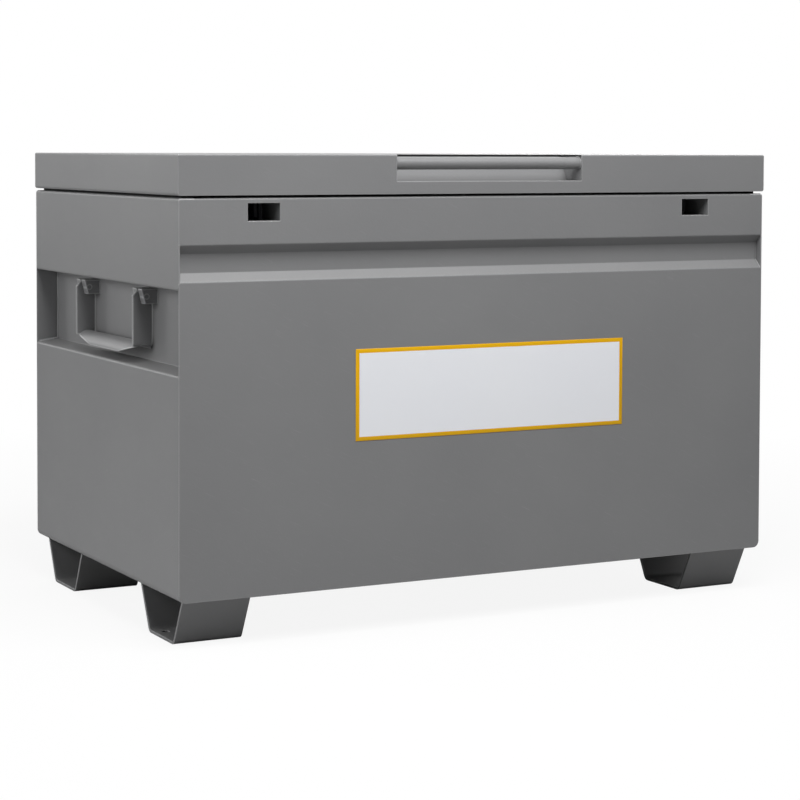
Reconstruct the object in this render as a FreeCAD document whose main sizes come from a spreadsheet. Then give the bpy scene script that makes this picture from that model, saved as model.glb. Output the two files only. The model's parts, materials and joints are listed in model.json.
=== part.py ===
"""Jobsite storage box: a steel chest with a hinged lid, gas struts, drop handles and lifting feet.

Frame: X to the right, Y to the back, Z up, in millimetres. The origin is on the ground, at the
centre of the four holes in the feet.
"""

import FreeCAD, Part
import Sketcher
import os
import re

os.makedirs("parts", exist_ok=True)

# ---------------------------------------------------------------------------------------------
# Driving dimensions. Every size below is a named cell of the sheet.
# ---------------------------------------------------------------------------------------------
SIZES = [
    ("body_width", 1215.2, "outside of the body, side to side"),
    ("body_depth", 758.0, "outside of the body, front to back"),
    ("body_height", 691.5, "floor underside to the top of the rim"),
    ("gauge", 2.0, "body and lid sheet"),
    ("bend", 4.0, "outside radius of a tight bend"),
    ("floor_bend", 13.0, "outside radius between side and floor"),
    ("rim_bend", 4.5, "outside radius between side and rim, and at the lid's lower edge"),
    ("rim_width", 28.0, "inward flange round the mouth"),
    ("rim_lip", 14.0, "turned-down edge of the side and back flanges"),
    ("floor_flange", 42.0, "side panel's flange under the load floor"),
    ("groove_below_rim", 80.5, "rim to the upper edge of the front groove"),
    ("groove_width", 63.0, "front groove, upper to lower edge"),
    ("groove_depth", 15.0, "depth of the front groove"),
    ("pocket_below_rim", 157.5, "rim to the roof of the handle pocket"),
    ("pocket_height", 145.0, "roof of the handle pocket to its ledge's outer edge"),
    ("pocket_depth", 43.0, "depth of the handle pocket"),
    ("ledge_rise", 5.0, "how far the pocket's ledge climbs inwards"),
    ("slot_inset", 157.6, "side of the body to a padlock slot's centre"),
    ("slot_width", 61.0, "padlock slot, side to side"),
    ("slot_height", 31.0, "padlock slot, up and down"),
    ("slot_below_rim", 25.0, "rim to a padlock slot's centre"),
    ("housing_depth", 80.0, "padlock housing, front to back"),
    ("housing_plate", 2.5, "padlock housing plate"),
    ("tab_plate", 6.0, "lock tab and staple plate"),
    ("tab_start", 34.0, "lock tab's front edge behind the front panel"),
    ("tab_width", 36.0, "lock tab, front to back"),
    ("tab_drop", 10.0, "lock tab's end below the slot's centre"),
    ("tab_web", 32.0, "height of the tab's web on the lid flange"),
    ("tab_play", 3.0, "room round the lock tab in its slot"),
    ("shackle_radius", 6.5, "padlock shackle hole"),
    ("foot_height", 84.0, "ground to floor underside"),
    ("foot_length", 127.0, "foot, along the box's width"),
    ("foot_top", 202.0, "foot channel's width at the floor"),
    ("foot_bottom", 118.0, "foot channel's width at the ground"),
    ("foot_plate", 4.8, "foot plate"),
    ("foot_bend", 14.0, "outside radius of the foot's lower bends"),
    ("foot_inset", 15.6, "body side to the foot's outer end"),
    ("foot_setback", 123.0, "front or back of the body to the foot's centre"),
    ("foot_hole_inset", 19.0, "foot's outer end to its bolt hole"),
    ("foot_hole_offset", 28.0, "foot's centre to its bolt hole, towards the box's middle"),
    ("foot_hole_radius", 7.0, "bolt hole in the foot"),
    ("handle_width", 304.8, "drop handle, outside of its legs"),
    ("handle_strap", 37.0, "drop handle strap width"),
    ("handle_plate", 4.8, "drop handle strap thickness"),
    ("handle_drop", 91.0, "handle pivot to the grip's lower edge"),
    ("handle_top", 10.0, "handle leg above its pivot"),
    ("handle_chamfer", 9.0, "corner cut of the handle leg's top"),
    ("handle_bend", 6.0, "outside radius where the legs turn into the grip"),
    ("grip_form", 150.0, "length of the grip's lip that hangs to its full depth"),
    ("grip_radius", 22.0, "outside radius of the grip's crown"),
    ("grip_sag", 14.0, "how far the grip's lip hangs below the legs"),
    ("pivot_below_roof", 22.0, "roof of the handle pocket to the handle pivot"),
    ("pivot_inset", 21.5, "handle pivot behind the side's face"),
    ("pivot_radius", 4.0, "handle pivot pin"),
    ("clevis_reach", 9.5, "clevis in front of the pivot"),
    ("clevis_height", 27.0, "clevis, up and down"),
    ("clevis_lean", 7.0, "how far the clevis's outer face leans in towards its foot"),
    ("cheek", 20.0, "clevis cheek"),
    ("clevis_base", 2.0, "clevis plate behind the leg"),
    ("leg_play", 0.6, "gap between handle leg and clevis cheek"),
    ("running_fit", 0.06, "radial clearance of a pin in its bore"),
    ("lid_overhang", 2.0, "lid beyond the body at the front and the sides"),
    ("lid_gap", 4.0, "rim to lid"),
    ("lid_height", 70.5, "lid, up and down"),
    ("lid_flange", 26.0, "lid's inward flange"),
    ("lid_edge", 2.5, "radius of the lid's edges"),
    ("seal_inset", 12.0, "body's face to the seal"),
    ("seal_width", 12.0, "rim seal"),
    ("seal_play", 0.3, "seal to closed lid"),
    ("grip_width", 386.0, "lid grip opening, side to side"),
    ("grip_depth", 73.0, "lid grip opening, front to back"),
    ("grip_drop", 48.0, "lid grip opening below the lid's top"),
    ("grip_lean", 18.0, "how far the pan's back wall leans forward at its foot"),
    ("bar_radius", 11.1, "grip bar"),
    ("bar_wall", 2.0, "grip bar wall"),
    ("bar_inset", 13.0, "grip bar's axis behind the lid's face"),
    ("bar_drop", 16.0, "grip bar's axis below the lid's top"),
    ("stiffener_inset", 307.6, "side of the body to a lid stiffener's centre"),
    ("stiffener_width", 84.0, "lid stiffener over its flanges"),
    ("stiffener_web", 40.0, "lid stiffener's web"),
    ("stiffener_depth", 22.0, "lid stiffener, up and down"),
    ("stiffener_gauge", 1.5, "lid stiffener sheet"),
    ("hinge_inset", 47.6, "side of the body to the hinge's end"),
    ("hinge_leaf", 38.0, "hinge axis to the edge of a leaf"),
    ("leaf_plate", 2.0, "hinge leaf plate"),
    ("hinge_pin_radius", 3.0, "hinge pin"),
    ("knuckle_radius", 5.2, "outside of a knuckle"),
    ("knuckle_count", 3, "knuckles on each leaf"),
    ("knuckle_play", 0.5, "gap between neighbouring knuckles"),
    ("leaf_play", 1.8, "gap between a knuckle and the other leaf"),
    ("strut_arm", 300.0, "hinge axis to either strut pivot"),
    ("strut_spread", 68.0, "angle between the two arms, lid closed"),
    ("strut_rise", 22.5, "lid pivot above the hinge axis"),
    ("strut_inset", 62.0, "strut's centre plane behind the side's face"),
    ("tube_radius", 9.0, "gas strut tube"),
    ("tube_wall", 1.5, "gas strut tube wall"),
    ("tube_start", 20.0, "strut pivot to the tube's closed end"),
    ("tube_end_wall", 8.0, "closed end of the tube"),
    ("tube_reach", 318.0, "strut pivot to the tube's open end"),
    ("rod_guide", 10.0, "rod guide in the tube's open end"),
    ("rod_radius", 4.0, "gas strut rod"),
    ("rod_reach", 300.0, "strut pivot to the end of the rod"),
    ("piston_length", 8.0, "piston on the rod"),
    ("piston_play", 0.3, "piston to tube"),
    ("eye_radius", 9.0, "strut eye"),
    ("eye_width", 8.0, "strut eye, along its stud"),
    ("neck_radius", 6.0, "strut eye's neck"),
    ("stud_radius", 4.0, "strut stud"),
    ("stud_head_radius", 6.5, "strut stud's hexagon head, to a corner"),
    ("stud_head", 2.0, "thickness of the stud's head"),
    ("stud_play", 0.5, "eye to stud head"),
    ("bracket_plate", 3.0, "strut bracket plate"),
    ("bracket_width", 44.0, "strut bracket, front to back"),
    ("bracket_foot", 25.0, "lid bracket's flange"),
    ("bracket_height", 56.0, "body bracket, up and down"),
    ("bracket_stand", 12.0, "strut's centre plane to the lid bracket"),
]

doc = FreeCAD.newDocument("storage_box")
sheet = doc.addObject("Spreadsheet::Sheet", "Sizes")
for row, (name, size, meaning) in enumerate(SIZES, start=1):
    sheet.set(f"A{row}", name)
    sheet.set(f"B{row}", str(size))
    sheet.set(f"C{row}", meaning)
    sheet.setAlias(f"B{row}", name)
doc.recompute()

SIZE_NAMES = {name for name, _, _ in SIZES}
MARGIN = 1.0  # how far a cutting outline runs past the sheet that it cuts

# Heights and places that several pieces share, as formulas on the sheet.
BODY_TOP = "(foot_height + body_height)"
LID_BOTTOM = "(foot_height + body_height + lid_gap)"
LID_WIDTH = "(body_width + 2 * lid_overhang)"
LID_DEPTH = "(body_depth + lid_overhang)"
HINGE_Y = "(body_depth / 2 + knuckle_radius)"
HINGE_Z = "(foot_height + body_height + lid_gap / 2)"
PANEL_INSIDE = "(-body_depth / 2 + gauge)"
GROOVE_HIGH = "(body_height - groove_below_rim)"
GROOVE_LOW = "(body_height - groove_below_rim - groove_width)"
GROOVE_MITRE = "(gauge * tan(22.5))"  # how far a 45 degree bend moves along the inner face
GROOVE_RUNOUT = "(bend * tan(22.5))"  # how far a groove bend's rounding runs onto the flat
POCKET_HIGH = "(body_height - pocket_below_rim)"
POCKET_LOW = "(body_height - pocket_below_rim - pocket_height)"
SLOT_UP = "(body_height - slot_below_rim)"
SLOT_X = "(body_width / 2 - slot_inset)"
FOOT_Y = "(body_depth / 2 - foot_setback)"
LEG_Y = "((handle_width - handle_plate) / 2)"
HINGE_LENGTH = "(body_width - 2 * hinge_inset)"
INNER_BEND = "bend - gauge"

LEFT = 1  # a side's sign times a distance points inwards, to the middle of the box
RIGHT = -1


# ---------------------------------------------------------------------------------------------
# Helpers: formulas, bodies, sketches and features
# ---------------------------------------------------------------------------------------------
def on_sheet(formula):
    """The formula with each size's name pointed at the sheet."""

    def point(word):
        return f"Sizes.{word.group()}" if word.group() in SIZE_NAMES else word.group()

    return re.sub(r"[a-z_]+", point, str(formula))


def value(formula):
    """What the formula comes to, as a plain number."""
    found = sheet.evalExpression(str(formula))
    return float(getattr(found, "Value", found))


def bind(item, prop, formula):
    item.setExpression(prop, on_sheet(formula))


def new_body(label, x="0", y="0", z="0"):
    """An empty body whose own frame sits at x, y, z."""
    body = doc.addObject("PartDesign::Body", label)
    body.Label = label
    for axis, formula in zip("xyz", (x, y, z)):
        bind(body, f"Placement.Base.{axis}", formula)
    return body


def turn_about_x(body, formula):
    body.Placement.Rotation = FreeCAD.Rotation(FreeCAD.Vector(1, 0, 0), 1)
    bind(body, "Placement.Rotation.Angle", formula)


def origin_feature(body, role):
    return next(f for f in body.Origin.OriginFeatures if f.Role == role)


def new_sketch(body, name, plane, height="0"):
    """A sketch on one of the body's own planes, moved along its normal by height."""
    sketch = body.newObject("Sketcher::SketchObject", name)
    sketch.AttachmentSupport = [(origin_feature(body, plane), "")]
    sketch.MapMode = "FlatFace"
    bind(sketch, "AttachmentOffset.Base.z", height)
    return sketch


def place_point(sketch, edge, end, across, up):
    """Ties one end of an edge to its two formulas."""
    for kind, formula in (("DistanceX", across), ("DistanceY", up)):
        index = sketch.addConstraint(Sketcher.Constraint(kind, -1, 1, edge, end, value(formula)))
        bind(sketch, f"Constraints[{index}]", formula)


def outline(sketch, corners):
    """A closed outline. A corner is (across, up), or (across, up, centre_across, centre_up, turn)
    where the edge that leaves it is an arc about that centre: turn 1 is anticlockwise."""
    first = sketch.GeometryCount
    points = [FreeCAD.Vector(value(c[0]), value(c[1]), 0) for c in corners]
    for corner, start, end in zip(corners, points, points[1:] + points[:1]):
        if len(corner) == 2:
            sketch.addGeometry(Part.LineSegment(start, end))
            continue
        centre = FreeCAD.Vector(value(corner[2]), value(corner[3]), 0)
        ring = Part.Circle(centre, FreeCAD.Vector(0, 0, 1), (start - centre).Length)
        ends = (start, end) if corner[4] == 1 else (end, start)
        sketch.addGeometry(Part.ArcOfCircle(ring, *[ring.parameter(p) for p in ends]))
    for place, corner in enumerate(corners):
        edge = first + place
        following = first + (place + 1) % len(corners)
        start_end = end_of_edge(corner, 1)
        next_start = end_of_edge(corners[(place + 1) % len(corners)], 1)
        place_point(sketch, edge, start_end, corner[0], corner[1])
        sketch.addConstraint(
            Sketcher.Constraint("Coincident", edge, end_of_edge(corner, 2), following, next_start)
        )
        if len(corner) > 2:
            index = sketch.addConstraint(
                Sketcher.Constraint("DistanceX", -1, 1, edge, 3, value(corner[2]))
            )
            bind(sketch, f"Constraints[{index}]", corner[2])


def end_of_edge(corner, wanted):
    """Which end of the edge that leaves a corner is its first (1) or last (2) along the outline."""
    clockwise = len(corner) > 2 and corner[4] == -1
    return 3 - wanted if clockwise else wanted


def rectangle(sketch, left, low, right, high):
    outline(sketch, [(left, low), (right, low), (right, high), (left, high)])


def circle(sketch, across, up, radius):
    centre = FreeCAD.Vector(value(across), value(up), 0)
    edge = sketch.addGeometry(Part.Circle(centre, FreeCAD.Vector(0, 0, 1), value(radius)))
    place_point(sketch, edge, 3, across, up)
    index = sketch.addConstraint(Sketcher.Constraint("Radius", edge, value(radius)))
    bind(sketch, f"Constraints[{index}]", radius)


def feature(body, kind, name, sketch, length, side="One side", reverse=False):
    """A pad or pocket of the sketch. Side is One side or Symmetric."""
    made = body.newObject(f"PartDesign::{kind}", name)
    made.Profile = sketch
    made.SideType = side
    made.Reversed = reverse
    bind(made, "Length", length)
    return made


def pad(body, name, sketch, length, **way):
    return feature(body, "Pad", name, sketch, length, **way)


def pocket(body, name, sketch, length, **way):
    return feature(body, "Pocket", name, sketch, length, **way)


def revolve(body, name, sketch):
    """A full turn of the sketch about its upright axis."""
    made = body.newObject("PartDesign::Revolution", name)
    made.Profile = sketch
    made.ReferenceAxis = (sketch, ["V_Axis"])
    made.Angle = 360
    return made


def mirror(body, features, role):
    """The same features again on the other side of one of the body's own planes."""
    made = body.newObject("PartDesign::Mirrored", "OtherSide")
    made.Originals = features
    made.MirrorPlane = (origin_feature(body, role), [""])
    body.Tip = made


def round_edges(body, radius, places):
    """Rounds the edges of the body that pass through the given places."""
    doc.recompute()
    base = body.Tip
    points = [Part.Vertex(*[value(f) for f in place]) for place in places]
    names = [
        f"Edge{index}"
        for index, edge in enumerate(base.Shape.Edges, start=1)
        if any(edge.distToShape(point)[0] < 1e-4 for point in points)
    ]
    made = body.newObject("PartDesign::Fillet", "Bends")
    made.Base = (base, names)
    bind(made, "Radius", radius)
    return made


# ---------------------------------------------------------------------------------------------
# Body shell: two end panels, two side panels and the load floor
# ---------------------------------------------------------------------------------------------
def end_panel_cuts(body, inwards, lip):
    """Rounds the panel's corners to the side panels' bends and clears the side flanges."""
    corners = new_sketch(body, "CornerOutline", "XZ_Plane")
    far = f"(body_width / 2 + {MARGIN})"
    for side in (LEFT, RIGHT):
        turn = side
        outline(
            corners,
            [
                (f"{-side} * {far}", f"body_height + {MARGIN}"),
                (f"{-side} * {far}", "body_height - rim_bend"),
                (
                    f"{-side} * body_width / 2",
                    "body_height - rim_bend",
                    f"{-side} * (body_width / 2 - rim_bend)",
                    "body_height - rim_bend",
                    -turn,
                ),
                (f"{-side} * (body_width / 2 - rim_bend)", "body_height"),
                (f"{-side} * (body_width / 2 - rim_bend)", f"body_height + {MARGIN}"),
            ],
        )
        outline(
            corners,
            [
                (f"{-side} * {far}", f"-{MARGIN}"),
                (f"{-side} * {far}", "floor_bend"),
                (
                    f"{-side} * body_width / 2",
                    "floor_bend",
                    f"{-side} * (body_width / 2 - floor_bend)",
                    "floor_bend",
                    turn,
                ),
                (f"{-side} * (body_width / 2 - floor_bend)", "0"),
                (f"{-side} * (body_width / 2 - floor_bend)", f"-{MARGIN}"),
            ],
        )
    pocket(body, "RoundedCorners", corners, "4 * rim_width", side="Symmetric")

    notches = new_sketch(body, "FlangeNotches", "XY_Plane", "body_height")
    for side in (LEFT, RIGHT):
        rectangle(
            notches,
            f"{-side} * {far}",
            f"{inwards} * gauge",
            f"{-side} * (body_width / 2 - rim_width)",
            f"{inwards} * (rim_width + {MARGIN})",
        )
    pocket(body, "FlangeEnds", notches, f"{lip} + {MARGIN}")


def front_panel():
    """Front sheet, bent in along the groove, with the padlock slots and the rim flange."""
    body = new_body("front_panel", y="-body_depth / 2", z="foot_height")
    outer = [
        ("0", GROOVE_HIGH),
        ("groove_depth", f"{GROOVE_HIGH} - groove_depth"),
        ("groove_depth", f"{GROOVE_LOW} + groove_depth"),
        ("0", GROOVE_LOW),
    ]
    inner = [
        ("gauge", f"{GROOVE_LOW} - {GROOVE_MITRE}"),
        ("groove_depth + gauge", f"{GROOVE_LOW} + groove_depth - {GROOVE_MITRE}"),
        ("groove_depth + gauge", f"{GROOVE_HIGH} - groove_depth + {GROOVE_MITRE}"),
        ("gauge", f"{GROOVE_HIGH} + {GROOVE_MITRE}"),
    ]
    profile = new_sketch(body, "Profile", "YZ_Plane")
    outline(
        profile,
        [
            ("0", "0"),
            ("gauge", "0"),
            *inner,
            ("gauge", "body_height - bend", "bend", "body_height - bend", -1),
            ("bend", "body_height - gauge"),
            ("rim_width", "body_height - gauge"),
            ("rim_width", "body_height"),
            ("bend", "body_height", "bend", "body_height - bend", 1),
            ("0", "body_height - bend"),
            *outer,
        ],
    )
    pad(body, "Sheet", profile, "body_width", side="Symmetric")
    tight = [("0", *outer[1]), ("0", *outer[2]), ("0", *inner[0]), ("0", *inner[3])]
    loose = [("0", *outer[0]), ("0", *outer[3]), ("0", *inner[1]), ("0", *inner[2])]
    round_edges(body, INNER_BEND, tight)
    round_edges(body, "bend", loose)

    openings = new_sketch(body, "Openings", "XZ_Plane")
    for side in (LEFT, RIGHT):
        rectangle(
            openings,
            f"{-side} * {SLOT_X} - slot_width / 2",
            f"{SLOT_UP} - slot_height / 2",
            f"{-side} * {SLOT_X} + slot_width / 2",
            f"{SLOT_UP} + slot_height / 2",
        )
        rectangle(
            openings,
            f"{-side} * (body_width / 2 - gauge)",
            f"{GROOVE_LOW} - {GROOVE_RUNOUT}",
            f"{-side} * (body_width / 2 + {MARGIN})",
            f"{GROOVE_HIGH} + {GROOVE_RUNOUT}",
        )
    pocket(body, "SlotsAndGrooveEnds", openings, "4 * groove_depth", side="Symmetric")
    end_panel_cuts(body, 1, "bend")
    return body


def back_panel():
    """Back sheet with the rim flange and its turned-down lip."""
    body = new_body("back_panel", y="body_depth / 2", z="foot_height")
    profile = new_sketch(body, "Profile", "YZ_Plane")
    outline(
        profile,
        [
            ("0", "0"),
            ("0", "body_height - bend", "-bend", "body_height - bend", 1),
            ("-bend", "body_height"),
            ("-rim_width", "body_height"),
            ("-rim_width", "body_height - rim_lip"),
            ("-rim_width + gauge", "body_height - rim_lip"),
            ("-rim_width + gauge", "body_height - gauge"),
            ("-bend", "body_height - gauge", "-bend", "body_height - bend", -1),
            ("-gauge", "body_height - bend"),
            ("-gauge", "0"),
        ],
    )
    pad(body, "Sheet", profile, "body_width", side="Symmetric")
    end_panel_cuts(body, -1, "rim_lip")
    return body


def side_panel(label, side):
    """Side sheet: floor flange, lower wall, handle pocket, upper wall, rim flange and lip."""
    body = new_body(label, x=f"{-side} * body_width / 2", z="foot_height")

    def inwards(formula):
        return f"{side} * ({formula})"

    outer = [
        (inwards("0"), POCKET_LOW),
        (inwards("pocket_depth"), f"{POCKET_LOW} + ledge_rise"),
        (inwards("pocket_depth"), POCKET_HIGH),
        (inwards("0"), POCKET_HIGH),
    ]
    inner = [
        (inwards("gauge"), f"{POCKET_HIGH} + gauge"),
        (inwards("pocket_depth + gauge"), f"{POCKET_HIGH} + gauge"),
        (inwards("pocket_depth + gauge"), f"{POCKET_LOW} + ledge_rise - gauge"),
        (inwards("gauge"), f"{POCKET_LOW} - gauge"),
    ]
    profile = new_sketch(body, "Profile", "XZ_Plane")
    outline(
        profile,
        [
            (inwards("floor_bend"), "0", inwards("floor_bend"), "floor_bend", -side),
            (inwards("0"), "floor_bend"),
            *outer,
            (
                inwards("0"),
                "body_height - rim_bend",
                inwards("rim_bend"),
                "body_height - rim_bend",
                -side,
            ),
            (inwards("rim_bend"), "body_height"),
            (inwards("rim_width"), "body_height"),
            (inwards("rim_width"), "body_height - rim_lip"),
            (inwards("rim_width - gauge"), "body_height - rim_lip"),
            (inwards("rim_width - gauge"), "body_height - gauge"),
            (
                inwards("rim_bend"),
                "body_height - gauge",
                inwards("rim_bend"),
                "body_height - rim_bend",
                side,
            ),
            (inwards("gauge"), "body_height - rim_bend"),
            *inner,
            (inwards("gauge"), "floor_bend", inwards("floor_bend"), "floor_bend", side),
            (inwards("floor_bend"), "gauge"),
            (inwards("floor_flange"), "gauge"),
            (inwards("floor_flange"), "0"),
        ],
    )
    pad(body, "Sheet", profile, "body_depth - 2 * gauge", side="Symmetric")
    tight = [outer[1], outer[2], inner[0], inner[3]]
    loose = [outer[0], outer[3], inner[1], inner[2]]
    round_edges(body, INNER_BEND, [(across, "0", up) for across, up in tight])
    round_edges(body, "bend", [(across, "0", up) for across, up in loose])

    tongue = new_sketch(body, "GrooveTongue", "YZ_Plane")
    rectangle(
        tongue,
        "-body_depth / 2",
        f"{GROOVE_LOW} - {GROOVE_RUNOUT}",
        "-body_depth / 2 + 2 * gauge",
        f"{GROOVE_HIGH} + {GROOVE_RUNOUT}",
    )
    pad(body, "GrooveEnd", tongue, "gauge", reverse=side == RIGHT)
    return body


def floor_panel():
    """Flat load floor between the side panels' flanges."""
    floor = doc.addObject("Part::Box", "floor_panel")
    floor.Label = "floor_panel"
    bind(floor, "Length", "body_width - 2 * floor_flange")
    bind(floor, "Width", "body_depth - 2 * gauge")
    bind(floor, "Height", "gauge")
    bind(floor, "Placement.Base.x", "-body_width / 2 + floor_flange")
    bind(floor, "Placement.Base.y", PANEL_INSIDE)
    bind(floor, "Placement.Base.z", "foot_height")
    return floor


# ---------------------------------------------------------------------------------------------
# Feet: bent channels with flared walls, open at both ends
# ---------------------------------------------------------------------------------------------
def foot(label, side, back):
    body = new_body(
        label,
        x=f"{-side} * (body_width / 2 - foot_inset)",
        y=f"{back} * {FOOT_Y}",
    )
    flare = "(foot_top - foot_bottom) / 2"
    wall_across = f"foot_plate * sqrt(1 + ({flare} / foot_height)^2)"
    inner_foot = f"(foot_bottom / 2 - {wall_across} + {flare} * foot_plate / foot_height)"
    profile = new_sketch(body, "Profile", "YZ_Plane")
    outline(
        profile,
        [
            ("-foot_top / 2", "foot_height"),
            ("-foot_bottom / 2", "0"),
            ("foot_bottom / 2", "0"),
            ("foot_top / 2", "foot_height"),
            (f"foot_top / 2 - {wall_across}", "foot_height"),
            (inner_foot, "foot_plate"),
            (f"-{inner_foot}", "foot_plate"),
            (f"-foot_top / 2 + {wall_across}", "foot_height"),
        ],
    )
    pad(body, "Channel", profile, "foot_length", reverse=side == RIGHT)
    middle = f"{side} * foot_length / 2"
    round_edges(body, "foot_bend", [(middle, f"{e} * foot_bottom / 2", "0") for e in (-1, 1)])
    round_edges(
        body,
        "foot_bend - foot_plate",
        [(middle, f"{e} * {inner_foot}", "foot_plate") for e in (-1, 1)],
    )
    hole = new_sketch(body, "BoltHole", "XY_Plane", "foot_plate")
    circle(hole, f"{side} * foot_hole_inset", f"{-back} * foot_hole_offset", "foot_hole_radius")
    pocket(body, "BoltDown", hole, f"foot_plate + {MARGIN}")
    return body


# ---------------------------------------------------------------------------------------------
# Padlock housings, fixed staples and the lid's lock tabs
# ---------------------------------------------------------------------------------------------
LOCK_PLACE = {"y": PANEL_INSIDE, "z": f"foot_height + {SLOT_UP}"}


def lock_housing(label, side):
    """Welded box behind the slot, open to the front, with a slot in its roof for the lid's tab."""
    body = new_body(label, x=f"{-side} * {SLOT_X}", **LOCK_PLACE)
    half = "(slot_height / 2 + housing_plate)"
    block = new_sketch(body, "Block", "YZ_Plane")
    rectangle(block, "0", f"-{half}", "housing_depth", half)
    pad(body, "Housing", block, "slot_width + 2 * housing_plate", side="Symmetric")
    inside = new_sketch(body, "Inside", "YZ_Plane")
    rectangle(
        inside,
        f"-{MARGIN}",
        "-slot_height / 2",
        "housing_depth - housing_plate",
        "slot_height / 2",
    )
    pocket(body, "Hollow", inside, "slot_width", side="Symmetric")
    roof = new_sketch(body, "TabSlot", "XY_Plane", half)
    rectangle(
        roof,
        "-tab_plate / 2 - tab_play",
        "tab_start - tab_play",
        "tab_plate / 2 + tab_play",
        "tab_start + tab_width + tab_play",
    )
    pocket(body, "RoofSlot", roof, f"housing_plate + {MARGIN}")
    return body


def lock_staples():
    """Fixed plates inside the housings, beside the lid's tabs, with the same shackle holes."""
    body = new_body("lock_staples", **LOCK_PLACE)
    plate = new_sketch(body, "Plate", "YZ_Plane", f"-{SLOT_X} + tab_plate / 2 + tab_play")
    rectangle(
        plate,
        "tab_start",
        "-slot_height / 2",
        "housing_depth - housing_plate",
        "slot_height / 2",
    )
    circle(plate, "tab_start + tab_width / 2", "0", "shackle_radius")
    mirror(body, [pad(body, "Staple", plate, "tab_plate")], "YZ_Plane")
    return body


def lock_tabs():
    """Plates welded to the lid's front flange, reaching down into the housings."""
    body = new_body("lock_tabs", **LOCK_PLACE)
    flange_top = "(slot_below_rim + lid_gap + gauge)"
    plate = new_sketch(body, "Plate", "YZ_Plane", f"-{SLOT_X}")
    outline(
        plate,
        [
            ("-lid_overhang", flange_top),
            ("tab_start", flange_top),
            ("tab_start", "-tab_drop"),
            ("tab_start + tab_width", "-tab_drop"),
            ("tab_start + tab_width", f"{flange_top} + tab_web / 2"),
            ("tab_start", f"{flange_top} + tab_web"),
            ("-lid_overhang", f"{flange_top} + tab_web"),
        ],
    )
    circle(plate, "tab_start + tab_width / 2", "0", "shackle_radius")
    tab = pad(body, "Tab", plate, "tab_plate", side="Symmetric")
    mirror(body, [tab], "YZ_Plane")
    return body


# ---------------------------------------------------------------------------------------------
# Drop handles in the side pockets
# ---------------------------------------------------------------------------------------------
def pivot_place(side):
    """The handle's own frame: on the line of its pins, half-way between its legs."""
    return {
        "x": f"{-side} * (body_width / 2 - pivot_inset)",
        "z": f"foot_height + {POCKET_HIGH} - pivot_below_roof",
    }


CLEVIS_WIDTH = "(2 * (cheek + leg_play) + handle_plate)"


def clevises(label, side):
    """Two clevises, each of two cheeks and a thin back, welded to the pocket's wall."""
    body = new_body(label, **pivot_place(side))
    wall = f"{side} * (pocket_depth - pivot_inset)"
    face = f"{-side} * clevis_reach"
    block = new_sketch(body, "Block", "XZ_Plane", LEG_Y)
    outline(
        block,
        [
            (wall, "-clevis_height / 2"),
            (f"{-side} * (clevis_reach - clevis_lean)", "-clevis_height / 2"),
            (face, "clevis_height / 2"),
            (wall, "clevis_height / 2"),
        ],
    )
    cheeks = pad(body, "Cheeks", block, CLEVIS_WIDTH, side="Symmetric")
    gap = new_sketch(body, "LegGap", "XY_Plane")
    half_gap = "(handle_plate / 2 + leg_play)"
    rectangle(
        gap,
        f"{-side} * (clevis_reach + {MARGIN})",
        f"-{LEG_Y} - {half_gap}",
        f"{side} * (pocket_depth - pivot_inset - clevis_base)",
        f"-{LEG_Y} + {half_gap}",
    )
    slot = pocket(body, "LegSlot", gap, f"clevis_height + 2 * {MARGIN}", side="Symmetric")
    bore = new_sketch(body, "Bore", "XZ_Plane", LEG_Y)
    circle(bore, "0", "0", "pivot_radius + running_fit")
    hole = pocket(body, "PinBore", bore, f"{CLEVIS_WIDTH} + {MARGIN}", side="Symmetric")
    mirror(body, [cheeks, slot, hole], "XZ_Plane")
    return body


def pivot_pins(label, side):
    body = new_body(label, **pivot_place(side))
    section = new_sketch(body, "Section", "XZ_Plane", LEG_Y)
    circle(section, "0", "0", "pivot_radius")
    mirror(body, [pad(body, "Pin", section, CLEVIS_WIDTH, side="Symmetric")], "XZ_Plane")
    return body


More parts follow.
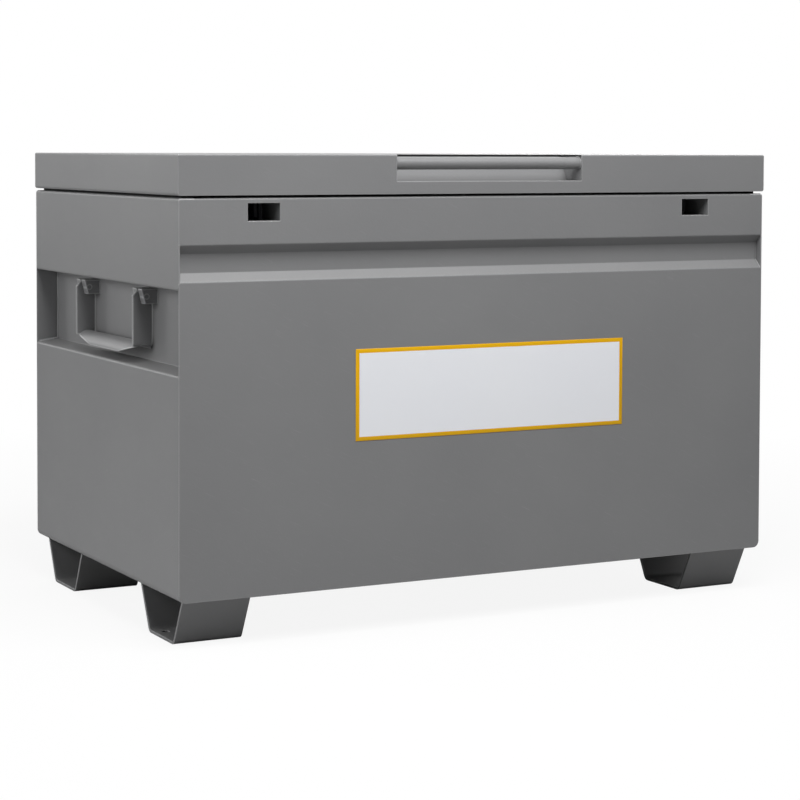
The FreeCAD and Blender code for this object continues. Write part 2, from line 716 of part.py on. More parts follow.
def drop_handle(label, side):
    """Flat strap bent into a bail: two upright legs, and a grip rolled to a crown over the
    fingers. Its outer lip hangs below the legs and is cut back towards them."""
    body = new_body(label, **pivot_place(side))
    outer = f"{-side} * handle_strap / 2"
    inner = f"{side} * handle_strap / 2"
    across = f"({side} * (grip_radius - handle_strap / 2))"
    up = "(-handle_drop - grip_sag)"
    inside = "(grip_radius - handle_plate)"
    inner_rise = f"sqrt({inside}^2 - ({inner} - {across})^2)"

    grip = new_sketch(body, "GripSection", "XZ_Plane")
    outline(
        grip,
        [
            (outer, up, across, up, -side),
            (inner, f"{up} + sqrt(grip_radius^2 - ({inner} - {across})^2)"),
            (inner, f"{up} + {inner_rise}", across, up, side),
            (f"({outer} + {side} * handle_plate)", up),
        ],
    )
    pad(body, "Grip", grip, "handle_width", side="Symmetric")

    for name, back in (("FrontLeg", 1), ("BackLeg", -1)):
        leg = new_sketch(body, name, "XZ_Plane", f"{back} * {LEG_Y}")
        outline(
            leg,
            [
                (outer, "-handle_drop"),
                (inner, "-handle_drop"),
                (inner, "handle_top - handle_chamfer"),
                (f"{side} * (handle_strap / 2 - handle_chamfer)", "handle_top"),
                (f"{-side} * (handle_strap / 2 - handle_chamfer)", "handle_top"),
                (outer, "handle_top - handle_chamfer"),
            ],
        )
        circle(leg, "0", "0", "pivot_radius + running_fit")
        pad(body, f"{name}Plate", leg, "handle_plate", side="Symmetric")

    below = f"({up} - {MARGIN})"
    hollow = new_sketch(body, "Hollow", "XZ_Plane")
    outline(
        hollow,
        [
            (f"({outer} + {side} * handle_plate)", up, across, up, -side),
            (inner, f"{up} + {inner_rise}"),
            (f"{inner} + {side} * {MARGIN}", f"{up} + {inner_rise}"),
            (f"{inner} + {side} * {MARGIN}", below),
            (f"({outer} + {side} * handle_plate)", below),
        ],
    )
    pocket(body, "HollowCut", hollow, f"handle_width + {MARGIN}", side="Symmetric")

    lip = new_sketch(body, "LipEnds", "YZ_Plane", outer)
    corners = new_sketch(body, "Corners", "YZ_Plane")
    for where in (-1, 1):
        end = f"{where} * handle_width / 2"
        beyond = f"{where} * (handle_width / 2 + {MARGIN})"
        inset = f"{where} * (handle_width / 2 - handle_bend)"
        outline(
            lip,
            [
                (f"{where} * grip_form / 2", up),
                (end, "-handle_drop"),
                (beyond, "-handle_drop"),
                (beyond, below),
                (f"{where} * grip_form / 2", below),
            ],
        )
        outline(
            corners,
            [
                (inset, "-handle_drop", inset, "-handle_drop + handle_bend", where),
                (end, "-handle_drop + handle_bend"),
                (beyond, "-handle_drop + handle_bend"),
                (beyond, below),
                (inset, below),
            ],
        )
    pocket(body, "LipCut", lip, "handle_strap", side="Symmetric")
    pocket(body, "CornersCut", corners, f"handle_strap + {MARGIN}", side="Symmetric")
    return body


# ---------------------------------------------------------------------------------------------
# Lid: folded shell, grip pan and bar, stiffeners
# ---------------------------------------------------------------------------------------------
def lid_place():
    """The lid's own frame: the middle of its footprint, at its lower edge."""
    return {"y": "-lid_overhang / 2", "z": LID_BOTTOM}


def lid_shell():
    body = new_body("lid_shell", **lid_place())
    half = f"({LID_WIDTH} / 2)"

    def section(sketch, thinner):
        """The lid seen from the front, with the two lower corners bent."""
        side_at = f"({half} - {thinner})"
        bend = f"(rim_bend - {thinner})"
        high = f"lid_height - {thinner}"
        outline(
            sketch,
            [
                (f"-{side_at} + {bend}", thinner),
                (
                    f"{side_at} - {bend}",
                    thinner,
                    f"{side_at} - {bend}",
                    f"{thinner} + {bend}",
                    1,
                ),
                (side_at, f"{thinner} + {bend}"),
                (side_at, high),
                (f"-{side_at}", high),
                (
                    f"-{side_at}",
                    f"{thinner} + {bend}",
                    f"-{side_at} + {bend}",
                    f"{thinner} + {bend}",
                    1,
                ),
            ],
        )

    block = new_sketch(body, "Outside", "XZ_Plane")
    section(block, "0")
    pad(body, "Block", block, LID_DEPTH, side="Symmetric")
    round_edges(
        body,
        "lid_edge",
        [(f"{e} * {half}", "0", "lid_height") for e in (-1, 1)]
        + [("0", f"{e} * {LID_DEPTH} / 2", "lid_height") for e in (-1, 1)],
    )
    inside = new_sketch(body, "Inside", "XZ_Plane")
    section(inside, "gauge")
    pocket(body, "Hollow", inside, f"{LID_DEPTH} - 2 * gauge", side="Symmetric")

    mouth = new_sketch(body, "Mouth", "XY_Plane", "gauge")
    rectangle(
        mouth,
        f"-{half} + lid_flange",
        f"-{LID_DEPTH} / 2 + lid_flange",
        f"{half} - lid_flange",
        f"{LID_DEPTH} / 2 - lid_flange",
    )
    pocket(body, "Opening", mouth, f"gauge + {MARGIN}")

    grip = new_sketch(body, "GripCut", "XY_Plane", "lid_height")
    rectangle(
        grip,
        "-grip_width / 2",
        f"-{LID_DEPTH} / 2 - {MARGIN}",
        "grip_width / 2",
        f"-{LID_DEPTH} / 2 + grip_depth",
    )
    pocket(body, "GripOpening", grip, "grip_drop")
    return body


def lid_grip_pan():
    """Folded pan that closes the grip opening from behind and below, its back wall leaning."""
    body = new_body("lid_grip_pan", **lid_place())
    floor_top = "(lid_height - grip_drop)"
    slope = "(grip_lean / grip_drop)"
    head = f"(-{LID_DEPTH} / 2 + grip_depth)"
    behind = f"(gauge * sqrt(1 + {slope}^2))"
    section = new_sketch(body, "Section", "YZ_Plane")
    outline(
        section,
        [
            (f"-{LID_DEPTH} / 2 + gauge", f"{floor_top} - gauge"),
            (f"{head} - grip_lean - gauge * {slope} + {behind}", f"{floor_top} - gauge"),
            (f"{head} - gauge * {slope} + {behind}", "lid_height - gauge"),
            (f"-{LID_DEPTH} / 2 + gauge", "lid_height - gauge"),
        ],
    )
    pad(body, "Block", section, "grip_width + 2 * gauge", side="Symmetric")
    inside = new_sketch(body, "Inside", "YZ_Plane")
    outline(
        inside,
        [
            (f"-{LID_DEPTH} / 2", floor_top),
            (f"{head} - grip_lean", floor_top),
            (head, "lid_height"),
            (f"-{LID_DEPTH} / 2", "lid_height"),
        ],
    )
    pocket(body, "Hollow", inside, "grip_width", side="Symmetric")
    return body


def lid_grip_bar():
    body = new_body("lid_grip_bar", **lid_place())
    section = new_sketch(body, "Section", "YZ_Plane")
    place = (f"-{LID_DEPTH} / 2 + bar_inset", "lid_height - bar_drop")
    circle(section, *place, "bar_radius")
    circle(section, *place, "bar_radius - bar_wall")
    pad(body, "Tube", section, "grip_width", side="Symmetric")
    return body


def lid_stiffener(label, side):
    """Hat channel under the lid's top, from front to back."""
    place = lid_place()
    body = new_body(label, x=f"{-side} * (body_width / 2 - stiffener_inset)", **place)
    top = "(lid_height - gauge)"
    half, web = "stiffener_width / 2", "stiffener_web / 2"
    wall = "stiffener_gauge"
    section = new_sketch(body, "Section", "XZ_Plane")
    outline(
        section,
        [
            (f"-{half}", top),
            (f"-{half}", f"{top} - {wall}"),
            (f"-{web}", f"{top} - {wall}"),
            (f"-{web}", f"{top} - stiffener_depth"),
            (web, f"{top} - stiffener_depth"),
            (web, f"{top} - {wall}"),
            (half, f"{top} - {wall}"),
            (half, top),
            (f"{web} - {wall}", top),
            (f"{web} - {wall}", f"{top} - stiffener_depth + {wall}"),
            (f"-{web} + {wall}", f"{top} - stiffener_depth + {wall}"),
            (f"-{web} + {wall}", top),
        ],
    )
    pad(body, "Hat", section, f"{LID_DEPTH} - 2 * gauge", side="Symmetric")
    return body


def rim_seal():
    """Rubber strip stuck on the rim, all the way round."""
    body = new_body("rim_seal", z=BODY_TOP)
    ring = new_sketch(body, "Ring", "XY_Plane")
    for inset in ("seal_inset", "(seal_inset + seal_width)"):
        rectangle(
            ring,
            f"-body_width / 2 + {inset}",
            f"-body_depth / 2 + {inset}",
            f"body_width / 2 - {inset}",
            f"body_depth / 2 - {inset}",
        )
    pad(body, "Strip", ring, "lid_gap - seal_play")
    return body


# ---------------------------------------------------------------------------------------------
# Continuous hinge: two leaves with alternating knuckles on one pin
# ---------------------------------------------------------------------------------------------
KNUCKLE_PITCH = f"({HINGE_LENGTH} / (2 * knuckle_count))"


def hinge_leaf(label, up):
    """One leaf: up is -1 for the body's and 1 for the lid's, whose knuckles start one pitch on."""
    body = new_body(label, y=HINGE_Y, z=HINGE_Z)
    face = ("-knuckle_radius", "-knuckle_radius + leaf_plate")
    plate = new_sketch(body, "Plate", "YZ_Plane")
    rectangle(plate, face[0], f"{up} * (knuckle_radius + leaf_play)", face[1], f"{up} * hinge_leaf")
    pad(body, "Leaf", plate, HINGE_LENGTH, side="Symmetric")

    start = f"-{HINGE_LENGTH} / 2" + ("" if up < 0 else f" + {KNUCKLE_PITCH}")
    length = f"{KNUCKLE_PITCH} - knuckle_play"
    web = new_sketch(body, "Web", "YZ_Plane", start)
    rectangle(web, face[0], "0", face[1], f"{up} * (knuckle_radius + 2 * leaf_play)")
    webs = pad(body, "WebPad", web, length)
    roll = new_sketch(body, "Roll", "YZ_Plane", start)
    circle(roll, "0", "0", "knuckle_radius")
    rolls = pad(body, "RollPad", roll, length)

    row = body.newObject("PartDesign::LinearPattern", "Knuckles")
    row.Originals = [webs, rolls]
    row.Direction = (origin_feature(body, "X_Axis"), [""])
    bind(row, "Length", f"2 * {KNUCKLE_PITCH} * (knuckle_count - 1)")
    bind(row, "Occurrences", "knuckle_count")
    body.Tip = row

    bore = new_sketch(body, "Bore", "YZ_Plane")
    circle(bore, "0", "0", "hinge_pin_radius + running_fit")
    pocket(body, "PinBore", bore, f"{HINGE_LENGTH} + 2 * {MARGIN}", side="Symmetric")
    return body


def hinge_pin():
    pin = doc.addObject("Part::Cylinder", "hinge_pin")
    pin.Label = "hinge_pin"
    pin.Placement.Rotation = FreeCAD.Rotation(FreeCAD.Vector(0, 1, 0), 90)
    bind(pin, "Radius", "hinge_pin_radius")
    bind(pin, "Height", HINGE_LENGTH)
    bind(pin, "Placement.Base.x", f"-{HINGE_LENGTH} / 2")
    bind(pin, "Placement.Base.y", HINGE_Y)
    bind(pin, "Placement.Base.z", HINGE_Z)
    return pin


# ---------------------------------------------------------------------------------------------
# Gas struts. Both pivots lie strut_arm from the hinge axis, so hinge and pivots form an
# isosceles triangle: as the lid opens, tube and rod each turn by half the lid's angle.
# ---------------------------------------------------------------------------------------------
BODY_ARM_ANGLE = "(90 + asin(strut_rise / strut_arm) / 1 deg - strut_spread)"
NECK_START = "(stud_head_radius + stud_play)"
STRUT_TILT = f"((180 - strut_spread) / 2 - {BODY_ARM_ANGLE})"


STRUT_X = "(body_width / 2 - strut_inset)"
BODY_PIVOT = {
    "y": f"{HINGE_Y} - strut_arm * sin({BODY_ARM_ANGLE})",
    "z": f"{HINGE_Z} - strut_arm * cos({BODY_ARM_ANGLE})",
}
LID_PIVOT = {
    "y": f"{HINGE_Y} - sqrt(strut_arm^2 - strut_rise^2)",
    "z": f"{HINGE_Z} + strut_rise",
}


def strut_eye(body):
    """Eye across the strut's end, bored for its stud."""
    eye = new_sketch(body, "Eye", "YZ_Plane")
    circle(eye, "0", "0", "eye_radius")
    pad(body, "EyePad", eye, "eye_width", side="Symmetric")
    bore = new_sketch(body, "Bore", "YZ_Plane")
    circle(bore, "0", "0", "stud_radius + running_fit")
    pocket(body, "StudBore", bore, f"2 * neck_radius + {MARGIN}", side="Symmetric")


def strut_rod(label, side):
    """Chromed rod, its neck and eye at the body's pivot, and the piston inside the tube."""
    body = new_body(label, x=f"{-side} * {STRUT_X}", **BODY_PIVOT)
    turn_about_x(body, STRUT_TILT)
    piston = "tube_radius - tube_wall - piston_play"
    half = new_sketch(body, "HalfSection", "XZ_Plane")
    outline(
        half,
        [
            ("0", NECK_START),
            ("neck_radius", NECK_START),
            ("rod_radius", "eye_radius + neck_radius"),
            ("rod_radius", "rod_reach - piston_length"),
            (piston, "rod_reach - piston_length"),
            (piston, "rod_reach"),
            ("0", "rod_reach"),
        ],
    )
    revolve(body, "Rod", half)
    strut_eye(body)
    return body


def strut_tube(label, side):
    """Pressure tube, closed at the lid's pivot, with the rod guide in its open end."""
    body = new_body(label, x=f"{-side} * {STRUT_X}", **LID_PIVOT)
    turn_about_x(body, f"{STRUT_TILT} + 180")
    inside = "tube_radius - tube_wall"
    guide = "rod_radius + running_fit"
    half = new_sketch(body, "HalfSection", "XZ_Plane")
    outline(
        half,
        [
            ("0", NECK_START),
            ("neck_radius", NECK_START),
            ("neck_radius", "tube_start"),
            ("tube_radius", "tube_start"),
            ("tube_radius", "tube_reach"),
            (guide, "tube_reach"),
            (guide, "tube_reach - rod_guide"),
            (inside, "tube_reach - rod_guide"),
            (inside, "tube_start + tube_end_wall"),
            ("0", "tube_start + tube_end_wall"),
        ],
    )
    revolve(body, "Tube", half)
    strut_eye(body)
    return body


def stud(body, plate_face):
    """Stud through the left eye, from the bracket's face to a hexagon head."""
    head = f"(-{STRUT_X} + eye_width / 2 + stud_play)"
    shank = new_sketch(body, "Shank", "YZ_Plane", f"-{STRUT_X} - ({plate_face})")
    circle(shank, "0", "0", "stud_radius")
    hexagon = new_sketch(body, "Head", "YZ_Plane", head)
    half, flat = "stud_head_radius / 2", "stud_head_radius * sin(60)"
    outline(
        hexagon,
        [
            ("stud_head_radius", "0"),
            (half, flat),
            (f"-{half}", flat),
            ("-stud_head_radius", "0"),
            (f"-{half}", f"-{flat}"),
            (half, f"-{flat}"),
        ],
    )
    return [
        pad(body, "ShankPad", shank, f"{plate_face} + eye_width / 2 + stud_play"),
        pad(body, "HeadPad", hexagon, "stud_head"),
    ]


def body_strut_brackets():
    """Plates on the back of the pockets' walls, with the rods' studs."""
    body = new_body("body_strut_brackets", **BODY_PIVOT)
    wall = "(strut_inset - pocket_depth - gauge)"
    plate = new_sketch(body, "Plate", "XZ_Plane")
    rectangle(
        plate,
        f"-{STRUT_X} - {wall}",
        "-bracket_height / 2",
        f"-{STRUT_X} - {wall} + bracket_plate",
        "bracket_height / 2",
    )
    plates = pad(body, "PlatePad", plate, "bracket_width", side="Symmetric")
    mirror(body, [plates, *stud(body, f"{wall} - bracket_plate")], "YZ_Plane")
    return body


def lid_strut_brackets():
    """Angles hanging from the lid's top, with the tubes' studs."""
    body = new_body("lid_strut_brackets", **LID_PIVOT)
    lid_inside = "(lid_gap / 2 + lid_height - gauge - strut_rise)"
    face = f"-{STRUT_X} - bracket_stand"
    angle = new_sketch(body, "Angle", "XZ_Plane")
    outline(
        angle,
        [
            (face, "-eye_radius - bracket_plate"),
            (face, lid_inside),
            (f"{face} - bracket_foot", lid_inside),
            (f"{face} - bracket_foot", f"{lid_inside} - bracket_plate"),
            (f"{face} - bracket_plate", f"{lid_inside} - bracket_plate"),
            (f"{face} - bracket_plate", "-eye_radius - bracket_plate"),
        ],
    )
    angles = pad(body, "AnglePad", angle, "bracket_width", side="Symmetric")
    mirror(body, [angles, *stud(body, "bracket_stand")], "YZ_Plane")
    return body


# ---------------------------------------------------------------------------------------------
# The assembly
# ---------------------------------------------------------------------------------------------
pieces = [
    front_panel(),
    back_panel(),
    floor_panel(),
    rim_seal(),
    hinge_leaf("hinge_body_leaf", -1),
    hinge_leaf("hinge_lid_leaf", 1),
    hinge_pin(),
    lid_shell(),
    lid_grip_pan(),
    lid_grip_bar(),
    lock_staples(),
    lock_tabs(),
    body_strut_brackets(),
    lid_strut_brackets(),
]
for hand, side in (("left", LEFT), ("right", RIGHT)):
    pieces += [
        side_panel(f"{hand}_side_panel", side),
        lock_housing(f"{hand}_lock_housing", side),
        clevises(f"{hand}_handle_clevises", side),
        pivot_pins(f"{hand}_handle_pins", side),
        drop_handle(f"{hand}_handle", side),
        lid_stiffener(f"{hand}_lid_stiffener", side),
        strut_rod(f"{hand}_strut_rod", side),
        strut_tube(f"{hand}_strut_tube", side),
        foot(f"front_{hand}_foot", side, -1),
        foot(f"back_{hand}_foot", side, 1),
    ]

doc.recompute()
faults = [
    item.Label
    for item in doc.Objects
    if "Invalid" in item.State or "Error" in item.State
]
faults += [piece.Label for piece in pieces if piece.Shape.isNull() or not piece.Shape.isValid()]
if faults:
    raise RuntimeError("these did not build: " + ", ".join(faults))
for piece in pieces:
    piece.Shape.exportStep(f"parts/{piece.Label}.step")
    box = piece.Shape.BoundBox
    print(
        f"{piece.Label:26s} solids {len(piece.Shape.Solids)}  volume {piece.Shape.Volume:12.1f}  "
        f"x {box.XMin:8.1f} {box.XMax:8.1f}  y {box.YMin:8.1f} {box.YMax:8.1f}  "
        f"z {box.ZMin:8.1f} {box.ZMax:8.1f}"
    )
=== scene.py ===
# %% [markdown]
# # A steel jobsite box, dressed and lit
#
# The imported model already holds the box itself: folded panels, lid, hinge, gas struts, handles
# and feet. This lesson gives those pieces their finishes and adds what is too small or too thin
# for the model: the front label, the weld beads, a black strip that paints the shadow line round
# the lid's grip, and the rivets of the hinge. Everything is in metres, in the model's own frame:
# X to the right, Y to the back, Z up, with the ground at zero.

# %% Load the imported model
import json
import math

import bmesh
import bpy
from mathutils import Matrix, Vector


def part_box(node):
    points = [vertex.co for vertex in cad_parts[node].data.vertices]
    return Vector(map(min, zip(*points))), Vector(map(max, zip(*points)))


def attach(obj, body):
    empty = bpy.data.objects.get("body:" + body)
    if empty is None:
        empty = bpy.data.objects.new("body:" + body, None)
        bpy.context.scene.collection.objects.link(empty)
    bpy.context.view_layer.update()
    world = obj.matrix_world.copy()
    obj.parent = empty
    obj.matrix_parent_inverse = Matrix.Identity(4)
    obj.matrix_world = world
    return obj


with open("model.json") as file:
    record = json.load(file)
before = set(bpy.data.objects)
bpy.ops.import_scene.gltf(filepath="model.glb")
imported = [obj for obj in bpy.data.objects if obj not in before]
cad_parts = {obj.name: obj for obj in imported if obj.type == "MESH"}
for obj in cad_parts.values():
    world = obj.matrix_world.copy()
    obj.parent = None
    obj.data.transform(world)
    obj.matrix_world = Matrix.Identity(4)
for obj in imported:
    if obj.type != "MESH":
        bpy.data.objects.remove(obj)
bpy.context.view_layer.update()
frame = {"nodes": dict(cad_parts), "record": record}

nodes = frame["nodes"]
bpy.ops.object.select_all(action="DESELECT")

# %% [markdown]
# ## Places that the trim is set against
#
# A weld, a rivet or a label has to sit on the sheet that carries it. If a panel moves, its trim
# moves with it. Here are the places that several pieces share. The others are read where they
# are needed.

# %% Read the places from the model
front_low, front_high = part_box("front_panel")
side_low, side_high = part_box("left_side_panel")
lid_low, lid_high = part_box("lid_shell")
bar_low, bar_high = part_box("lid_grip_bar")

HANDS = {"left": -1, "right": 1}
SHEET = 0.002
HALF_WIDTH = front_high.x
FRONT_FACE = front_low.y
BACK_FACE = -FRONT_FACE
RIM = front_high.z
POCKET_DEPTH = side_high.x - side_low.x - SHEET
print("box is", round(2 * HALF_WIDTH, 4), "m wide and", round(lid_high.z, 4), "m high")
print("handle pockets are", round(POCKET_DEPTH, 4), "m deep")

# %% [markdown]
# ## Helpers for modelling by hand
#
# Bpy operators act on whatever is selected, as the mouse does. Short helpers keep that safe.
# One starts a primitive with nothing else selected, one picks edges or faces by a rule on their
# place, one turns and moves the mesh itself, and one finishes a piece. Finishing means that the
# object sits at the origin, the faces are shaded, and the piece rides on its body.

# %% Start a piece, and place its mesh
def fresh(name, adder, **settings):
    """Adds a primitive with one of bpy.ops.mesh's adders and names it."""
    bpy.ops.object.select_all(action="DESELECT")
    adder(**settings)
    piece = bpy.context.object
    piece.name = name
    piece.data.name = name
    return piece


def place(piece, move=(0, 0, 0), turn=None):
    """Turns and moves the mesh itself, so that the object stays at the origin."""
    matrix = Matrix.Translation(Vector(move)) @ (turn or Matrix.Identity(4))
    piece.data.transform(matrix)
    piece.data.update()


print("selected before the first piece:", len(bpy.context.selected_objects))

# %% Pick edges or faces by their place
NEAR = 1e-5


def pick(piece, kind, rule):
    """In edit mode, selects the edges or faces whose centre satisfies the rule."""
    bpy.ops.mesh.select_mode(type={"edges": "EDGE", "faces": "FACE"}[kind])
    bpy.ops.mesh.select_all(action="DESELECT")
    mesh = bmesh.from_edit_mesh(piece.data)
    count = 0
    for part in getattr(mesh, kind):
        centre = sum((corner.co for corner in part.verts), Vector()) / len(part.verts)
        if rule(centre, part):
            part.select_set(True)
            count += 1
    mesh.select_flush_mode()
    bmesh.update_edit_mesh(piece.data)
    return count


print("a point counts as on a plane within", NEAR, "m")

# %% Finish a piece
def finish_piece(piece, body, material=None, smooth_angle=35):
    """Puts the object at the origin, shades it and hands it to its body."""
    bpy.ops.object.select_all(action="DESELECT")
    piece.select_set(True)
    bpy.context.view_layer.objects.active = piece
    bpy.ops.object.transform_apply(location=True, rotation=True, scale=True)
    bpy.ops.object.shade_smooth_by_angle(angle=math.radians(smooth_angle))
    if material:
        piece.data.materials.clear()
        piece.data.materials.append(material)
    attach(piece, body)
    piece.select_set(False)
    print(f"{piece.name}: {len(piece.data.polygons)} faces on {body}")


# %% [markdown]
# ## Node groups: the effects that several finishes share
#
# Powder coat, plated steel and rubber differ in colour and gloss, but they share a few effects:
# a fine grain that breaks up the highlight, marks from handling, a little dust where a face
# looks up, a painted highlight along the edges, and painted shade in the corners. Each effect is
# one node group with named sockets, built once. A finish places the group and sets its own
# values, so a change in one place reaches every finish.

# %% Feed a socket, and add a node
def feed(tree, socket, source):
    """Links a socket to another node's output, or sets it to a number, vector or colour."""
    if isinstance(source, bpy.types.NodeSocket):
        tree.links.new(source, socket)
    elif socket.type == "RGBA":
        socket.default_value = (*source, 1.0)
    else:
        socket.default_value = source


def add(tree, kind, inputs=None, **properties):
    """Adds a node, sets its properties, and feeds its inputs by name or number."""
    node = tree.nodes.new(kind)
    for key, setting in properties.items():
        setattr(node, key, setting)
    for socket, source in (inputs or {}).items():
        feed(tree, node.inputs[socket], source)
    return node


print("materials from the model:", len(bpy.data.materials))

# %% Calculate, make noise and stretch a value
def math_node(tree, operation, first, second, clamp=False):
    """A Math node's result. Each operand is a number or another node's output."""
    node = add(
        tree, "ShaderNodeMath", {0: first, 1: second}, operation=operation, use_clamp=clamp
    )
    return node.outputs[0]


def noise(tree, where, scale, detail=2.0):
    """A cloudy pattern from 0 to 1, with 1 / scale as its size."""
    inputs = {"Vector": where, "Scale": scale, "Detail": detail}
    return add(tree, "ShaderNodeTexNoise", inputs).outputs["Fac"]


def ramp(tree, source, low, high, bottom=0.0):
    """Stretches low to high over bottom to 1, and holds the ends. Low may be above high."""
    inputs = {"Value": source, "From Min": low, "From Max": high, "To Min": bottom}
    return add(tree, "ShaderNodeMapRange", inputs, clamp=True).outputs[0]


print("node helpers: feed, add, math_node, noise, ramp")

# %% [markdown]
# ### Coat grain
#
# Powder coat melts in the oven and never flows quite flat. The eye sees two sizes of ripple: an
# orange peel of a few millimetres, and a grain below one millimetre. Two noise textures of
# those sizes are added into one height. A third, much slower one drifts the tone a little, as
# the coat's thickness does from place to place.

# %% Start a node group
def new_group(name, inputs, outputs):
    """A node group with float sockets, and its own input and output sockets.

    inputs is {socket: start value} and outputs is a list of names.
    """
    group = bpy.data.node_groups.new(name, "ShaderNodeTree")
    kind = "NodeSocketFloat"
    for socket, start in inputs.items():
        made = group.interface.new_socket(name=socket, in_out="INPUT", socket_type=kind)
        made.default_value = start
    for socket in outputs:
        group.interface.new_socket(name=socket, in_out="OUTPUT", socket_type=kind)
    given = group.nodes.new("NodeGroupInput").outputs
    result = group.nodes.new("NodeGroupOutput").inputs
    return group, given, result


print("node groups so far:", len(bpy.data.node_groups))

# %% Build the coat grain group
DRIFTS_PER_METRE = 3.5

coat_grain, given, result = new_group(
    "coat_grain",
    {"Peel size": 0.004, "Grain size": 0.0008, "Grain share": 0.4},
    ["Height", "Drift"],
)
here = add(coat_grain, "ShaderNodeTexCoord").outputs["Object"]
peels_per_metre = math_node(coat_grain, "DIVIDE", 1.0, given["Peel size"])
grains_per_metre = math_node(coat_grain, "DIVIDE", 1.0, given["Grain size"])
peel = noise(coat_grain, here, peels_per_metre)
grain = noise(coat_grain, here, grains_per_metre, detail=1.0)
grain_part = math_node(coat_grain, "MULTIPLY", grain, given["Grain share"])
feed(coat_grain, result["Height"], math_node(coat_grain, "ADD", peel, grain_part))
feed(coat_grain, result["Drift"], noise(coat_grain, here, DRIFTS_PER_METRE, detail=4.0))
print("coat_grain group:", len(coat_grain.nodes), "nodes")

# %% [markdown]
# ### Handling marks
#
# Even a new box has been carried. The marks are faint: soft smears where gloves and straps have
# polished the coat, and a few fine scratches. Smears come from a noise that is stretched along
# one direction and pushed through a ramp, so that most of the surface stays clean. Scratches
# come from much finer noises, each drawn out along a line in one of the three planes that the
# panels lie in. The group puts out two masks, and each finish decides what they do.

# %% Build the handling marks group
SMEAR_SHAPE = (1.0, 1.0, 2.4)
SCRATCH_SIZE = (0.035, 0.0006, 0.0006)
SCRATCH_TURNS = ((0.0, 0.45, 0.0), (0.0, 0.4, math.pi / 2), (0.0, 0.0, -0.6))

handling_marks, given, result = new_group(
    "handling_marks", {"Smear scale": 9.0, "Amount": 0.5}, ["Smear", "Hairline"]
)
here = add(handling_marks, "ShaderNodeTexCoord").outputs["Object"]
stretched = add(handling_marks, "ShaderNodeMapping", {"Vector": here, "Scale": SMEAR_SHAPE})
smears = noise(handling_marks, stretched.outputs[0], given["Smear scale"], detail=5.0)
scratches = 0.0
for turn in SCRATCH_TURNS:
    drawn_out = add(
        handling_marks,
        "ShaderNodeMapping",
        {"Vector": here, "Rotation": turn, "Scale": SCRATCH_SIZE},
        vector_type="TEXTURE",
    )
    streak = noise(handling_marks, drawn_out.outputs[0], 1.0, detail=0.0)
    scratches = math_node(handling_marks, "MAXIMUM", streak, scratches)
masks = {
    "Smear": ramp(handling_marks, smears, 0.48, 0.72),
    "Hairline": ramp(handling_marks, scratches, 0.76, 0.84),
}
for socket, mask in masks.items():
    share = math_node(handling_marks, "MULTIPLY", mask, given["Amount"])
    feed(handling_marks, result[socket], share)
print("handling_marks group:", len(handling_marks.nodes), "nodes")

# %% [markdown]
# ### Settled dust
#
# Dust lies on what looks up. The face's normal has a Z of 1 when it looks straight up, so that
# Z, sharpened and broken up with noise, is the dust mask. It stays on the object because the
# normal is taken in the object's own space and not from the camera.

# %% Build the settled dust group
settled_dust, given, result = new_group(
    "settled_dust", {"Amount": 0.3, "Speck size": 0.006}, ["Dust"]
)
here = add(settled_dust, "ShaderNodeTexCoord").outputs
normal = add(settled_dust, "ShaderNodeSeparateXYZ", {"Vector": here["Normal"]})
looks_up = ramp(settled_dust, normal.outputs["Z"], 0.55, 1.0)
specks_per_metre = math_node(settled_dust, "DIVIDE", 1.0, given["Speck size"])
specks = noise(settled_dust, here["Object"], specks_per_metre, detail=4.0)
broken = ramp(settled_dust, specks, 0.35, 0.75)
dust_mask = math_node(settled_dust, "MULTIPLY", looks_up, broken)
feed(settled_dust, result["Dust"], math_node(settled_dust, "MULTIPLY", dust_mask, given["Amount"]))
print("settled_dust group:", len(settled_dust.nodes), "nodes")

# %% [markdown]
# ### Painted edge highlights
#
# A folded or sheared edge catches the light as a fine lighter line, and that line is painted
# into the colour as a painted highlight. An Ambient Occlusion node that looks into the metal
# finds the edge: just under an outside edge, many of its rays soon meet the neighbouring face,
# and inside corners have no such face. The width stays below the metal's gauge, so that its far
# side isn't met.
#
# The light comes from above, so edges that face up are painted lighter than the upright ones.
# A Bevel node turns the normal near an edge halfway towards the neighbouring face, so the height
# of that normal, in the object's own space, tells a top edge from a corner. "Upright" is the
# share of the painted highlight that is left on the corners.

# %% Build the edge highlight group
edge_highlight, given, result = new_group("edge_highlight", {"Width": 0.0012, "Upright": 0.15}, ["Edge"])
inward = add(
    edge_highlight,
    "ShaderNodeAmbientOcclusion",
    {"Distance": given["Width"]},
    samples=6,
    inside=True,
    only_local=True,
)
# Painted highlight: a mask of the outside edges.
near_outside_edge = ramp(edge_highlight, inward.outputs["AO"], 0.99, 0.78)
rounded = add(edge_highlight, "ShaderNodeBevel", {"Radius": given["Width"]}, samples=4)
own_normal = add(
    edge_highlight,
    "ShaderNodeVectorTransform",
    {"Vector": rounded.outputs[0]},
    vector_type="NORMAL",
    convert_from="WORLD",
    convert_to="OBJECT",
)
normal = add(edge_highlight, "ShaderNodeSeparateXYZ", {"Vector": own_normal.outputs[0]})
# Edges that face up get more of the painted highlight, as the light comes from above.
upward = ramp(edge_highlight, normal.outputs["Z"], -0.1, 0.4, bottom=given["Upright"])
feed(edge_highlight, result["Edge"], math_node(edge_highlight, "MULTIPLY", near_outside_edge, upward))
print("edge_highlight group:", len(edge_highlight.nodes), "nodes")
